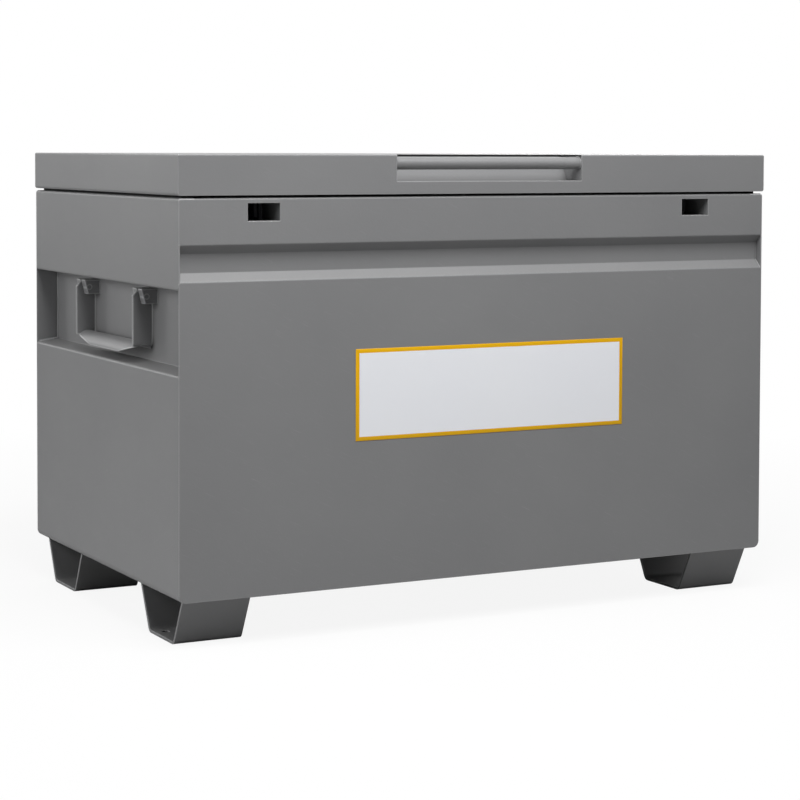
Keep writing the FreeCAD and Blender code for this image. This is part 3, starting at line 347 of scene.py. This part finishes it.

# %% [markdown]
# ### Painted shade in the corners
#
# Shade falls in the angle of a fold, along a weld and behind a bracket, so a near-black painted
# shade is laid into the colour there. The same node, looking outwards this time, finds those
# corners.

# %% Build the corner shade group
corner_shade, given, result = new_group("corner_shade", {"Width": 0.014}, ["Grime"])
outward = add(
    corner_shade, "ShaderNodeAmbientOcclusion", {"Distance": given["Width"]}, samples=6
)
feed(corner_shade, result["Grime"], ramp(corner_shade, outward.outputs["AO"], 0.62, 0.25))
print("corner_shade group:", len(corner_shade.nodes), "nodes")

# %% [markdown]
# ## The finishes
#
# Every finish starts from the same skeleton: a Principled shader, a base colour that drifts a
# little, a roughness that the marks change, and a bump. What differs is passed in. A Bevel node
# under the bump rounds the shading where two faces meet: a folded or sheared steel edge is
# never knife sharp, and the thin highlight along it is what makes sheet metal look like metal.

# %% Lighten a colour, and mix two
def lighter(colour, lift):
    """A colour that is lighter by a factor, up to white."""
    return tuple(min(1.0, lift * channel) for channel in colour)


def colour_mix(tree, share, first, second):
    """Mixes two colours, each a linear (r, g, b) or another node's output, by a share."""
    mix = add(tree, "ShaderNodeMix", {0: share, 6: first, 7: second}, data_type="RGBA")
    return mix.outputs[2]


print("0.2 made half as light again:", round(lighter((0.2,), 1.5)[0], 3))

# %% Build up a finish's colour
DUST_COLOUR = (0.42, 0.40, 0.37)
# Painted shade: the near-black colour laid into the inside corners.
PAINTED_SHADE_COLOUR = (0.018, 0.017, 0.016)
SCRATCH_LIFT = 1.5
# How much lighter than the coat's pale tone the painted edge highlight is.
HIGHLIGHT_LIFT = 2.2


def coat_colour(tree, colour, pale, texture, wear, powder):
    """A colour that drifts towards a paler one, with fine scratches and dust on it."""
    drift = ramp(tree, texture.outputs["Drift"], 0.3, 0.7)
    drifting = colour_mix(tree, drift, colour, pale)
    hairline = wear.outputs["Hairline"]
    scratched = colour_mix(tree, hairline, drifting, lighter(pale, SCRATCH_LIFT))
    return colour_mix(tree, powder.outputs["Dust"], scratched, DUST_COLOUR)


def with_painted_shade(tree, colour, painted_shade):
    """The colour, darkened in the inside corners by painted shade."""
    corners = add(tree, "ShaderNodeGroup", node_tree=corner_shade)
    share = math_node(tree, "MULTIPLY", corners.outputs["Grime"], painted_shade)
    return colour_mix(tree, share, colour, PAINTED_SHADE_COLOUR)


def with_painted_edge_highlight(tree, colour, pale, painted_highlight, width, upright):
    """The colour, lightened along the outside edges by a painted highlight."""
    edges = {"Width": width, "Upright": upright}
    outline = add(tree, "ShaderNodeGroup", edges, node_tree=edge_highlight)
    share = math_node(tree, "MULTIPLY", outline.outputs["Edge"], painted_highlight)
    return colour_mix(tree, share, colour, lighter(pale, HIGHLIGHT_LIFT))


# The lift of the painted edge highlight over the coat.
print("a rubbed edge is", HIGHLIGHT_LIFT, "times lighter than its coat")

# %% Vary a finish's gloss, and give it relief
SMEAR_POLISHES = -0.14
DUST_DULLS = 0.35


def uneven_roughness(tree, roughness, wear, powder):
    """A roughness that falls where the coat is polished and rises under dust."""
    smoother = math_node(tree, "MULTIPLY", wear.outputs["Smear"], SMEAR_POLISHES)
    duller = math_node(tree, "MULTIPLY", powder.outputs["Dust"], DUST_DULLS)
    varied = math_node(tree, "ADD", smoother, duller)
    return math_node(tree, "ADD", varied, roughness, clamp=True)


def soft_relief(tree, height, bump, rounding):
    """The normal of a bumpy surface, whose edges are rounded unless rounding is zero."""
    inputs = {"Height": height, "Strength": 1.0, "Distance": bump}
    if rounding:
        inputs["Normal"] = add(
            tree, "ShaderNodeBevel", {"Radius": rounding}, samples=4
        ).outputs[0]
    return add(tree, "ShaderNodeBump", inputs).outputs[0]


print("a smear polishes by", -SMEAR_POLISHES, "and dust dulls by", DUST_DULLS)

# %% Build one finish from its values
def grained_finish(
    name,
    colour,
    pale,
    roughness,
    metallic=0.0,
    specular=0.5,
    peel=0.004,
    grain=0.0008,
    grain_share=0.4,
    bump=0.0004,
    rounding=0.0015,
    marks=0.4,
    dust=0.2,
    painted_shade=0.0,
    painted_highlight=0.0,
    highlight_width=0.0012,
    highlight_upright=0.15,
):
    """A Principled finish with grain, marks and dust, and with painted corner shade and painted
    edge highlights if asked.
    """
    material = bpy.data.materials.new(name)
    material.use_nodes = True
    tree = material.node_tree
    shader = tree.nodes["Principled BSDF"].inputs
    shader["Metallic"].default_value = metallic
    shader["Specular IOR Level"].default_value = specular

    sizes = {"Peel size": peel, "Grain size": grain, "Grain share": grain_share}
    texture = add(tree, "ShaderNodeGroup", sizes, node_tree=coat_grain)
    wear = add(tree, "ShaderNodeGroup", {"Amount": marks}, node_tree=handling_marks)
    powder = add(tree, "ShaderNodeGroup", {"Amount": dust}, node_tree=settled_dust)

    coat = coat_colour(tree, colour, pale, texture, wear, powder)
    # Painted shade in the inside corners.
    if painted_shade:
        coat = with_painted_shade(tree, coat, painted_shade)
    # Painted highlights along the outside edges.
    if painted_highlight:
        coat = with_painted_edge_highlight(tree, coat, pale, painted_highlight, highlight_width, highlight_upright)
    feed(tree, shader["Base Color"], coat)
    feed(tree, shader["Roughness"], uneven_roughness(tree, roughness, wear, powder))
    feed(tree, shader["Normal"], soft_relief(tree, texture.outputs["Height"], bump, rounding))
    return material


print("node groups for the finishes:", len(bpy.data.node_groups))

# %% [markdown]
# ### Powder coat
#
# The box is sprayed in one grey powder coat, inside and out. It is a satin, slightly textured
# coat: the highlight is broad, and at a shallow angle the top of the lid picks up the bright
# surroundings. That comes from the shader's own Fresnel, so the colour stays a plain mid grey
# and the roughness does the work; only a painted highlight along the edges and painted shade in
# the corners are laid into it. Handles and clevises are in the hand all day, so their coat is
# smoother, and their painted edge highlight is wider and reaches the upright edges too. The
# tabs and staples that the padlocks hold are near black, as painted shade for the dark inside
# of the padlock slots.

# %% Mix the powder coat and the coat of the fittings
powder_coat = grained_finish(
    "grey_powder_coat",
    colour=(0.205, 0.206, 0.210),
    pale=(0.222, 0.223, 0.226),
    roughness=0.46,
    bump=0.00012,
    rounding=0.0016,
    marks=0.25,
    dust=0.10,
    # painted shade in the inside corners
    painted_shade=0.6,
    # painted highlight along the outside edges
    painted_highlight=0.9,
    highlight_width=0.0018,
)
fitting_coat = grained_finish(
    "fitting_powder_coat",
    colour=(0.190, 0.191, 0.195),
    pale=(0.212, 0.213, 0.216),
    roughness=0.42,
    bump=0.00016,
    rounding=0.0008,
    marks=0.5,
    dust=0.10,
    # painted shade in the inside corners
    painted_shade=0.6,
    # painted highlight along the outside edges
    painted_highlight=0.7,
)
print("coats:", powder_coat.name, fitting_coat.name)

# %% Mix the handles' coat and the lock parts' near black
handled_coat = grained_finish(
    "handled_powder_coat",
    colour=(0.200, 0.201, 0.205),
    pale=(0.220, 0.221, 0.224),
    roughness=0.38,
    bump=0.00010,
    marks=0.7,
    dust=0.05,
    # painted shade in the inside corners
    painted_shade=0.6,
    # a wider painted highlight, on upright edges almost as much as on top ones
    painted_highlight=0.9,
    highlight_width=0.0024,
    highlight_upright=0.9,
)
# Near black, as painted shade: it darkens the inside of the padlock slots.
slot_shade_black = grained_finish(
    "lock_slot_shade_black",
    colour=(0.012, 0.012, 0.014),
    pale=(0.020, 0.020, 0.022),
    roughness=0.70,
    specular=0.15,
    bump=0.00006,
    rounding=0.0008,
    marks=0.3,
    dust=0.03,
)
print("finishes:", handled_coat.name, slot_shade_black.name)

# %% [markdown]
# ### Zinc plate and chrome
#
# The hinge is zinc plated: a metal with a milky, uneven reflection, so its roughness is high
# for a metal and its grain is coarse. The rod of a gas strut is hard chromed: a metal too, but
# one that is polished almost to a mirror.

# %% Mix the two metals
zinc_plate = grained_finish(
    "zinc_plated_steel",
    colour=(0.46, 0.47, 0.49),
    pale=(0.60, 0.60, 0.60),
    roughness=0.38,
    metallic=1.0,
    peel=0.009,
    grain=0.0012,
    bump=0.00006,
    rounding=0.0005,
    marks=0.8,
    dust=0.05,
)
hard_chrome = grained_finish(
    "hard_chrome",
    colour=(0.70, 0.71, 0.73),
    pale=(0.74, 0.75, 0.77),
    roughness=0.17,
    metallic=1.0,
    bump=0.00001,
    rounding=0.0004,
    marks=0.2,
    dust=0.0,
)
print("metals:", zinc_plate.name, hard_chrome.name)

# %% [markdown]
# ### Gloss black and rubber
#
# The tube of a gas strut is painted gloss black. The seal is closed-cell foam rubber, the only
# finish here that is truly matt, and its skin is the most uneven of them all.

# %% Mix the gloss black and the rubber
gloss_black = grained_finish(
    "gloss_black_paint",
    colour=(0.012, 0.012, 0.013),
    pale=(0.016, 0.016, 0.017),
    roughness=0.24,
    bump=0.00003,
    rounding=0.0005,
    marks=0.5,
    dust=0.12,
)
foam_rubber = grained_finish(
    "foam_rubber",
    colour=(0.012, 0.012, 0.012),
    pale=(0.020, 0.020, 0.020),
    roughness=0.88,
    specular=0.3,
    peel=0.0025,
    grain=0.0009,
    grain_share=0.9,
    bump=0.0005,
    rounding=0.0008,
    marks=0.0,
    dust=0.15,
)
print("materials so far:", len(bpy.data.materials))

# %% [markdown]
# ## Dress the model's own pieces
#
# The model says which slot each node belongs to, so a node's finish is looked up by its slot,
# apart from the few nodes with a finish of their own. Only the finish changes here: the meshes
# are the measured model and stay as they are.

# %% Give each node the finish of its slot
finishes = {
    "shell_paint": powder_coat,
    "fitting_paint": fitting_coat,
    "bare_steel": zinc_plate,
    "rod_chrome": hard_chrome,
    "tube_paint": gloss_black,
    "seal_rubber": foam_rubber,
}
slot_of = {entry["node"]: entry["material_slot"] for entry in frame["record"]["subparts"]}
# The lock tabs and staples are near black, which paints the shade inside the padlock slots.
own_finish = {"lock_tabs": slot_shade_black, "lock_staples": slot_shade_black}
for hand in HANDS:
    own_finish[f"{hand}_handle"] = handled_coat
    own_finish[f"{hand}_handle_clevises"] = handled_coat
for name, node in nodes.items():
    node.data.materials.clear()
    node.data.materials.append(own_finish.get(name, finishes[slot_of[name]]))
print({slot: list(slot_of.values()).count(slot) for slot in finishes})

# %% [markdown]
# ## The front label
#
# A printed vinyl label lies on the front, white with a yellow edge. It is left blank here. A
# label is thin but not flat paper: it has a thickness, a rounded cut edge and a slight ripple
# where it was squeegeed on. It starts as one plane, is inset for the printed edge, extruded
# for its thickness, and bevelled all round. The white and the yellow are two materials on one
# mesh, given to faces by their place.

# %% Mix the label's two inks
def label_ink(name, colour, pale):
    """Ink on vinyl: nearly smooth, with a slow ripple and no dust."""
    return grained_finish(
        name,
        colour=colour,
        pale=pale,
        roughness=0.40,
        specular=0.25,
        peel=0.03,
        grain=0.002,
        grain_share=0.05,
        bump=0.00022,
        rounding=0.0,
        marks=0.3,
        dust=0.0,
    )


label_white = label_ink("label_white", (0.93, 0.945, 0.99), (0.95, 0.965, 1.0))
label_yellow = label_ink("label_yellow", (0.84, 0.44, 0.004), (0.86, 0.47, 0.006))
print("inks:", label_white.name, label_yellow.name)

# %% Lay out the label
LABEL_X = 0.0068
LABEL_Z = 0.425
LABEL_WIDTH = 0.560
LABEL_HEIGHT = 0.163
LABEL_EDGE = 0.0072
LABEL_THICKNESS = 0.0007
label_face = FRONT_FACE - LABEL_THICKNESS


def inside_label(point):
    """How far a point lies inside the label's cut edge."""
    across = LABEL_WIDTH / 2 - abs(point.x - LABEL_X)
    upwards = LABEL_HEIGHT / 2 - abs(point.z - LABEL_Z)
    return min(across, upwards)


label = fresh("front_label", bpy.ops.mesh.primitive_plane_add, size=1.0)
place(label, turn=Matrix.Diagonal((LABEL_WIDTH, LABEL_HEIGHT, 1, 1)))
place(label, move=(LABEL_X, label_face, LABEL_Z), turn=Matrix.Rotation(math.pi / 2, 4, "X"))
print("label is", LABEL_WIDTH, "by", LABEL_HEIGHT, "m")

# %% Give the label its printed edge, its thickness and its two inks
bpy.ops.object.mode_set(mode="EDIT")
bpy.ops.mesh.select_all(action="SELECT")
bpy.ops.mesh.inset(thickness=LABEL_EDGE, depth=0)
bpy.ops.mesh.select_all(action="SELECT")
bpy.ops.mesh.extrude_region_move(TRANSFORM_OT_translate={"value": (0, LABEL_THICKNESS, 0)})
bpy.ops.mesh.select_all(action="SELECT")
bpy.ops.mesh.normals_make_consistent(inside=False)
cut_edges = pick(
    label,
    "edges",
    lambda centre, edge: abs(centre.y - label_face) < NEAR and abs(inside_label(centre)) < NEAR,
)
bpy.ops.mesh.bevel(offset=LABEL_THICKNESS * 0.45, segments=2)
bpy.ops.object.mode_set(mode="OBJECT")
label.data.materials.append(label_white)
label.data.materials.append(label_yellow)
for face in label.data.polygons:
    face.material_index = 0 if inside_label(face.center) > LABEL_EDGE else 1
finish_piece(label, "box")
print("label: bevelled", cut_edges, "edges")

# %% [markdown]
# ## Weld beads
#
# Feet, clevises and pocket ends are welded on, and a weld is a row of small overlapping
# puddles. One puddle is a flattened sphere of a few dozen faces. An Array modifier lays copies
# of it along a line, each a little further than the last, which is how a welder makes it. The
# applied row is then turned and moved to its seam. The step between puddles is a little less
# than their radius, so they overlap and only shallow notches are left between them. The beads
# are painted with the box, so they take the fittings' coat.

# %% Make a bead
PUDDLE_STEP = 0.8


def weld_bead(start, end, radius):
    """A bead between two points, as a row of flattened puddles, each PUDDLE_STEP radii on."""
    start = Vector(start)
    run = Vector(end) - start
    count = max(2, int(run.length / (radius * PUDDLE_STEP)))
    step = run.length / count
    bead = fresh(
        "bead", bpy.ops.mesh.primitive_uv_sphere_add, segments=8, ring_count=6, radius=radius
    )
    place(bead, turn=Matrix.Diagonal((0.8, 1.0, 1.0, 1.0)))
    row = bead.modifiers.new("row", "ARRAY")
    row.count = count
    row.use_relative_offset = False
    row.use_constant_offset = True
    row.constant_offset_displace = (step, 0, 0)
    bpy.ops.object.modifier_apply(modifier=row.name)
    along_run = run.to_track_quat("X", "Z").to_matrix().to_4x4()
    place(bead, move=start, turn=along_run @ Matrix.Translation((step / 2, 0, 0)))
    return bead


print("puddles lie", PUDDLE_STEP, "of their radius apart")

# %% Join beads into one piece
def join(pieces, name):
    """Joins several pieces into one mesh."""
    bpy.ops.object.select_all(action="DESELECT")
    for piece in pieces:
        piece.select_set(True)
    bpy.context.view_layer.objects.active = pieces[0]
    bpy.ops.object.join()
    joined = bpy.context.object
    joined.name = name
    joined.data.name = name
    return joined


def finish_welds(beads, name, body="box"):
    """Joins the beads of one seam and paints them with the fittings' coat."""
    finish_piece(join(beads, name), body, fitting_coat, smooth_angle=60)


print("welds are painted with", fitting_coat.name)

# %% [markdown]
# ### The handle pockets
#
# Each side sheet is folded inwards to make a pocket for the handle, and the pocket's open ends
# are closed by the front and back panels. At both ends a bead runs along the ledge, along the
# roof and up the wall. The one on the ledge is the largest, a fillet that is seen from outside.

# %% Weld the pocket ends along the ledge, the roof and the wall
POCKET_BELOW_RIM = 0.1575
POCKET_HEIGHT = 0.145
LEDGE_RISE = 0.005
LEDGE_BEAD = 0.0042
ROOF_BEAD = 0.0020
WALL_BEAD = 0.0018
MOUTH_GAP = 0.004

roof = RIM - POCKET_BELOW_RIM
ledge = roof - POCKET_HEIGHT
for hand, sign in HANDS.items():
    mouth = sign * (HALF_WIDTH - MOUTH_GAP)
    wall = sign * (HALF_WIDTH - POCKET_DEPTH)
    beads = []
    for end in (-1, 1):
        y = end * (BACK_FACE - SHEET - LEDGE_BEAD / 2)
        wall_foot = (wall, y, ledge + LEDGE_RISE)
        wall_top = (wall, y, roof)
        beads.append(weld_bead((mouth, y, ledge), wall_foot, LEDGE_BEAD))
        beads.append(weld_bead((mouth, y, roof), wall_top, ROOF_BEAD))
        beads.append(weld_bead(wall_foot, wall_top, WALL_BEAD))
    finish_welds(beads, f"{hand}_pocket_welds")

# %% [markdown]
# ### The feet and the clevises
#
# A foot is welded to the load floor along the outside of both its walls. A clevis is welded to
# the pocket's wall along both its sides, and each handle has two of them.

# %% Weld the feet to the load floor
FOOT_BEAD = 0.0032
FOOT_END_GAP = 0.006
BEAD_BELOW_FLOOR = 0.0008
BEAD_BESIDE_FOOT = 0.0012

for end in ("front", "back"):
    for hand in HANDS:
        low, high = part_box(f"{end}_{hand}_foot")
        first, last = low.x + FOOT_END_GAP, high.x - FOOT_END_GAP
        z = high.z - BEAD_BELOW_FLOOR
        beads = [
            weld_bead((first, y, z), (last, y, z), FOOT_BEAD)
            for y in (low.y - BEAD_BESIDE_FOOT, high.y + BEAD_BESIDE_FOOT)
        ]
        finish_welds(beads, f"{end}_{hand}_foot_welds")

# %% Weld the clevises to the pocket wall
CLEVIS_WIDTH = 0.046
CLEVIS_BEAD = 0.0019
CLEVIS_END_GAP = 0.002

for hand, sign in HANDS.items():
    low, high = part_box(f"{hand}_handle_clevises")
    wall = sign * (HALF_WIDTH - POCKET_DEPTH)
    first, last = low.z + CLEVIS_END_GAP, high.z - CLEVIS_END_GAP
    beads = [
        weld_bead((wall, y, first), (wall, y, last), CLEVIS_BEAD)
        for y in (low.y, low.y + CLEVIS_WIDTH, high.y - CLEVIS_WIDTH, high.y)
    ]
    finish_welds(beads, f"{hand}_clevis_welds")

# %% [markdown]
# ### Weld rings at the ends of the grip bar
#
# The lid's grip bar butts against the end walls of its recess and is welded all round. A torus
# is the right primitive here: it is already a ring. It is made a little larger than the bar,
# almost half of it sinks into the wall, and it is set back a little, so that it stays behind
# the lid's front.

# %% Model the two weld rings
RING_BEAD = 0.0022
RING_ROOM = 0.0004
RING_OFF_WALL = 0.0006
RING_SETBACK = 0.0008

bar_centre = (bar_low + bar_high) / 2
bar_radius = (bar_high.z - bar_low.z) / 2
rings = []
for bar_end, outwards in ((bar_low.x, -1), (bar_high.x, 1)):
    ring = fresh(
        "ring",
        bpy.ops.mesh.primitive_torus_add,
        major_radius=bar_radius + RING_ROOM,
        minor_radius=RING_BEAD,
        major_segments=36,
        minor_segments=8,
    )
    x = bar_end - outwards * RING_OFF_WALL
    centre = (x, bar_centre.y + RING_SETBACK, bar_centre.z)
    place(ring, move=centre, turn=Matrix.Rotation(math.pi / 2, 4, "Y"))
    rings.append(ring)
finish_welds(rings, "grip_bar_welds", body="lid")

# %% [markdown]
# ## Painted shadow line round the grip recess
#
# Where the lid's top sheet is cut away for the grip, a thin dark shadow line falls under its cut
# edge along the recess's walls. That shadow is painted in as a black strip: a thin bar whose
# long edges are bevelled to a round, pressed against the cut edge along the back and both sides.

# %% Model the painted shadow strip
SHADOW_STRIP_HEIGHT = 0.0030
SHADOW_STRIP_PROUD = 0.0012
SHADOW_STRIP_BELOW_TOP = 0.0002
SHADOW_STRIP_OFF_SIDES = 0.0006
RECESS_DEPTH = 0.073

shadow_strip_z = lid_high.z - SHADOW_STRIP_BELOW_TOP - SHADOW_STRIP_HEIGHT / 2
recess_back = lid_low.y + RECESS_DEPTH - SHADOW_STRIP_PROUD
recess_half = bar_high.x - SHADOW_STRIP_OFF_SIDES


def shadow_strip_bar(start, end):
    """A rounded bar between two points, each an (x, y), at the height of the top sheet."""
    start, end = Vector((*start, shadow_strip_z)), Vector((*end, shadow_strip_z))
    run = end - start
    bar = fresh("shadow_strips", bpy.ops.mesh.primitive_cube_add, size=1.0)
    place(bar, turn=Matrix.Diagonal((run.length, SHADOW_STRIP_PROUD * 2, SHADOW_STRIP_HEIGHT, 1.0)))
    bpy.ops.object.mode_set(mode="EDIT")
    pick(bar, "edges", lambda centre, edge: abs(centre.x) < NEAR)
    bpy.ops.mesh.bevel(offset=SHADOW_STRIP_PROUD * 0.7, segments=3)
    bpy.ops.object.mode_set(mode="OBJECT")
    place(bar, move=(start + end) / 2, turn=run.to_track_quat("X", "Z").to_matrix().to_4x4())
    return bar


# Black strips in the foam rubber finish paint the shadow line under the lid's cut edge.
shadow_strips = [shadow_strip_bar((-recess_half, recess_back), (recess_half, recess_back))]
for x in (-recess_half, recess_half):
    shadow_strips.append(shadow_strip_bar((x, lid_low.y + SHEET), (x, recess_back)))
finish_piece(join(shadow_strips, "recess_shadow_strip"), "lid", foam_rubber, smooth_angle=50)

# %% [markdown]
# ## Rivets of the continuous hinge
#
# A full-length hinge is riveted through each leaf. One rivet head is a disc whose rim is
# bevelled into a dome: a short cylinder, its top face inset, pulled out and smoothed. It is
# modelled once and copied along each leaf at an even pitch.

# %% Model one rivet head
RIVET_RADIUS = 0.0046
RIVET_HEIGHT = 0.0018

rivet = fresh(
    "rivet",
    bpy.ops.mesh.primitive_cylinder_add,
    vertices=16,
    radius=RIVET_RADIUS,
    depth=RIVET_HEIGHT,
)
bpy.ops.object.mode_set(mode="EDIT")
pick(rivet, "faces", lambda centre, face: face.normal.z > 0.9)
bpy.ops.mesh.inset(thickness=RIVET_RADIUS * 0.35, depth=RIVET_HEIGHT * 0.35)
bpy.ops.mesh.inset(thickness=RIVET_RADIUS * 0.3, depth=RIVET_HEIGHT * 0.15)
pick(rivet, "edges", lambda centre, edge: abs(centre.z - RIVET_HEIGHT / 2) < NEAR)
bpy.ops.mesh.bevel(offset=RIVET_HEIGHT * 0.25, segments=2)
bpy.ops.mesh.select_all(action="SELECT")
bpy.ops.mesh.normals_make_consistent(inside=False)
bpy.ops.object.mode_set(mode="OBJECT")
place(rivet, move=(0, 0, RIVET_HEIGHT / 2))
place(rivet, turn=Matrix.Rotation(-math.pi / 2, 4, "X"))
print("one rivet head:", len(rivet.data.polygons), "faces")

# %% Find the two rows of rivets
RIVETS = 14
RIVET_INSET = 0.012
leaf_low, leaf_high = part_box("hinge_body_leaf")
lid_leaf_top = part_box("hinge_lid_leaf")[1].z
leaf_face = leaf_low.y + SHEET
rivet_pitch = (leaf_high.x - leaf_low.x) / RIVETS
rivet_rows = (
    ("box", "body", leaf_low.z + RIVET_INSET),
    ("lid", "lid", lid_leaf_top - RIVET_INSET),
)
print("rivets are", round(rivet_pitch, 4), "m apart")

# %% Rivet both leaves
def copy_of(piece, name):
    """A copy with a mesh of its own."""
    twin = piece.copy()
    twin.data = piece.data.copy()
    twin.name = name
    twin.data.name = name
    bpy.context.scene.collection.objects.link(twin)
    return twin


for body, leaf, row_height in rivet_rows:
    heads = []
    for index in range(RIVETS):
        head = copy_of(rivet, "rivet_copy")
        x = (index - (RIVETS - 1) / 2) * rivet_pitch
        place(head, move=(x, leaf_face, row_height))
        heads.append(head)
    finish_piece(
        join(heads, f"hinge_{leaf}_rivets"), body, zinc_plate, smooth_angle=50
    )
bpy.data.objects.remove(rivet)

# %% [markdown]
# ## The floor and the white surroundings
#
# The floor is a stage: it carries the shadow and isn't part of the box. The camera, gloss and
# glass see it and the surroundings as white. That is done with Light Path: their rays meet a
# white glow, while the rays that carry light between surfaces meet a grey floor and an almost
# dark sky. So the background is white without any more light on the box. Near the box a share
# of the floor stays matt, so that it takes the box's shadow. The lamps don't reach far, so
# farther out the glow takes over.

# %% Sort the rays, and mix two shaders
def seen_directly(tree, rays):
    """1 for rays from the camera, from gloss and through glass, and 0 for the others."""
    seen = math_node(tree, "MAXIMUM", rays["Is Camera Ray"], rays["Is Glossy Ray"])
    return math_node(tree, "MAXIMUM", seen, rays["Is Transmission Ray"])


def shader_mix(tree, share, first, second):
    """Mixes the shaders of two nodes by a share."""
    inputs = {"Fac": share, 1: first.outputs[0], 2: second.outputs[0]}
    return add(tree, "ShaderNodeMixShader", inputs)


print("white is seen by camera, glossy and transmission rays")

# %% Mix the floor's finish
SHADOW_NEAR = 0.8
SHADOW_FAR = 2.6
GLOW_NEAR_BOX = 0.90

floor_finish = bpy.data.materials.new("studio_floor")
floor_finish.use_nodes = True
tree = floor_finish.node_tree
tree.nodes.clear()
rays = add(tree, "ShaderNodeLightPath").outputs
here = add(tree, "ShaderNodeTexCoord").outputs["Object"]
floor_tone = colour_mix(tree, noise(tree, here, 30.0), (0.30, 0.30, 0.30), (0.32, 0.32, 0.32))
matt_floor = add(tree, "ShaderNodeBsdfDiffuse", {"Color": floor_tone})
pale_floor = add(tree, "ShaderNodeBsdfDiffuse", {"Color": (0.9, 0.9, 0.9)})
white_glow = add(tree, "ShaderNodeEmission", {"Color": (1.0, 1.0, 1.0)})
distance = add(tree, "ShaderNodeVectorMath", {0: here}, operation="LENGTH").outputs["Value"]
away = ramp(tree, distance, SHADOW_NEAR, SHADOW_FAR, bottom=GLOW_NEAR_BOX)
glow_share = math_node(tree, "MULTIPLY", rays["Is Camera Ray"], away)
seen_floor = shader_mix(tree, glow_share, pale_floor, white_glow)
floor_mix = shader_mix(tree, seen_directly(tree, rays), matt_floor, seen_floor)
add(tree, "ShaderNodeOutputMaterial", {"Surface": floor_mix.outputs[0]})
print("floor finish:", len(tree.nodes), "nodes")

# %% Lay the floor
FLOOR_ACROSS = 60.0
FLOOR_DROP = 0.0005

floor = fresh("floor", bpy.ops.mesh.primitive_plane_add, size=FLOOR_ACROSS)
place(floor, move=(0, 0, -FLOOR_DROP))
floor.data.materials.append(floor_finish)
print("floor is", round(floor.dimensions.x), "m across")

# %% Make the surroundings
world = bpy.data.worlds.new("studio")
bpy.context.scene.world = world
world.use_nodes = True
tree = world.node_tree
tree.nodes.clear()
rays = add(tree, "ShaderNodeLightPath").outputs
dim = add(tree, "ShaderNodeBackground", {"Color": (0.80, 0.82, 0.86), "Strength": 0.02})
white = add(tree, "ShaderNodeBackground", {"Color": (1.0, 1.0, 1.0)})
sky = shader_mix(tree, seen_directly(tree, rays), dim, white)
add(tree, "ShaderNodeOutputWorld", {"Surface": sky.outputs[0]})
print("world:", world.name)

# %% [markdown]
# ## Lamps
#
# Seven area lamps, as in a product studio. Three hang high in front: they light the front, the
# lid's recess and the lower slope of the groove. Two on the left light the side panel. A small
# one, to the left and behind the box, grazes the side and throws the shadows of the grip and
# its clevises along the pocket's wall. The last lights the back and the right, so that the
# hinge reads as well as the front. A lamp points along its own minus Z, so it is aimed with a
# track quaternion.

# %% Add the lamps
def area_lamp(name, at, aim, size, power):
    """A white rectangular lamp, aimed at a point. Sizes are in metres and power in watts."""
    data = bpy.data.lights.new(name, "AREA")
    data.shape = "RECTANGLE"
    data.size, data.size_y = size
    data.energy = power
    lamp = bpy.data.objects.new(name, data)
    lamp.location = at
    lamp.rotation_euler = (Vector(aim) - Vector(at)).to_track_quat("-Z", "Y").to_euler()
    bpy.context.scene.collection.objects.link(lamp)


area_lamp("high_front", (0.0, -3.0, 4.0), (0, 0, 0.4), (3.0, 2.0), 59)
area_lamp("over_the_lid", (-0.2, -1.1, 2.4), (-0.1, -0.3, 0.6), (2.0, 0.5), 29)
area_lamp("front_left", (-0.8, -2.2, 2.8), (-0.3, 0, 0.6), (1.6, 1.0), 35)
area_lamp("left_far", (-4.5, 0.5, 1.2), (0, 0, 0.4), (2.0, 2.0), 26)
area_lamp("left_near", (-2.6, -0.2, 1.4), (-0.6, 0, 0.6), (1.0, 1.0), 13)
area_lamp("left_behind", (-3.2, 3.7, 1.7), (-0.6, 0, 0.55), (0.8, 0.8), 25)
area_lamp("back_right", (4.0, 3.4, 2.0), (0.2, 0.2, 0.4), (4.0, 3.0), 110)
print("lamps:", len(bpy.data.lights))

# %% [markdown]
# ## The camera
#
# The box is seen from the left, at the height of its lid and from about four and a half
# metres, with a long lens. The camera looks down by two and a half degrees and the lens is
# shifted the rest of the way, as an architectural photographer does to keep the uprights
# parallel.

# %% Place the camera
LENS_MILLIMETRES = 99.24
LENS_SHIFT = -0.1943
CAMERA_AT = (-2.0012, -3.8500, 0.8609)
HEADING = math.radians(-27.61)
PITCH = math.radians(87.5)
ROLL = 0.0031  # radians

lens = bpy.data.cameras.new("studio_camera")
lens.lens = LENS_MILLIMETRES
lens.sensor_width = 36.0
lens.shift_y = LENS_SHIFT
camera = bpy.data.objects.new("studio_camera", lens)
camera.location = CAMERA_AT
aim = Matrix.Rotation(HEADING, 3, "Z") @ Matrix.Rotation(PITCH, 3, "X")
camera.rotation_euler = (aim @ Matrix.Rotation(ROLL, 3, "Z")).to_euler()
bpy.context.scene.collection.objects.link(camera)
bpy.context.scene.camera = camera
bpy.context.scene.view_settings.view_transform = "Standard"
print("camera at", tuple(round(v, 3) for v in camera.location))
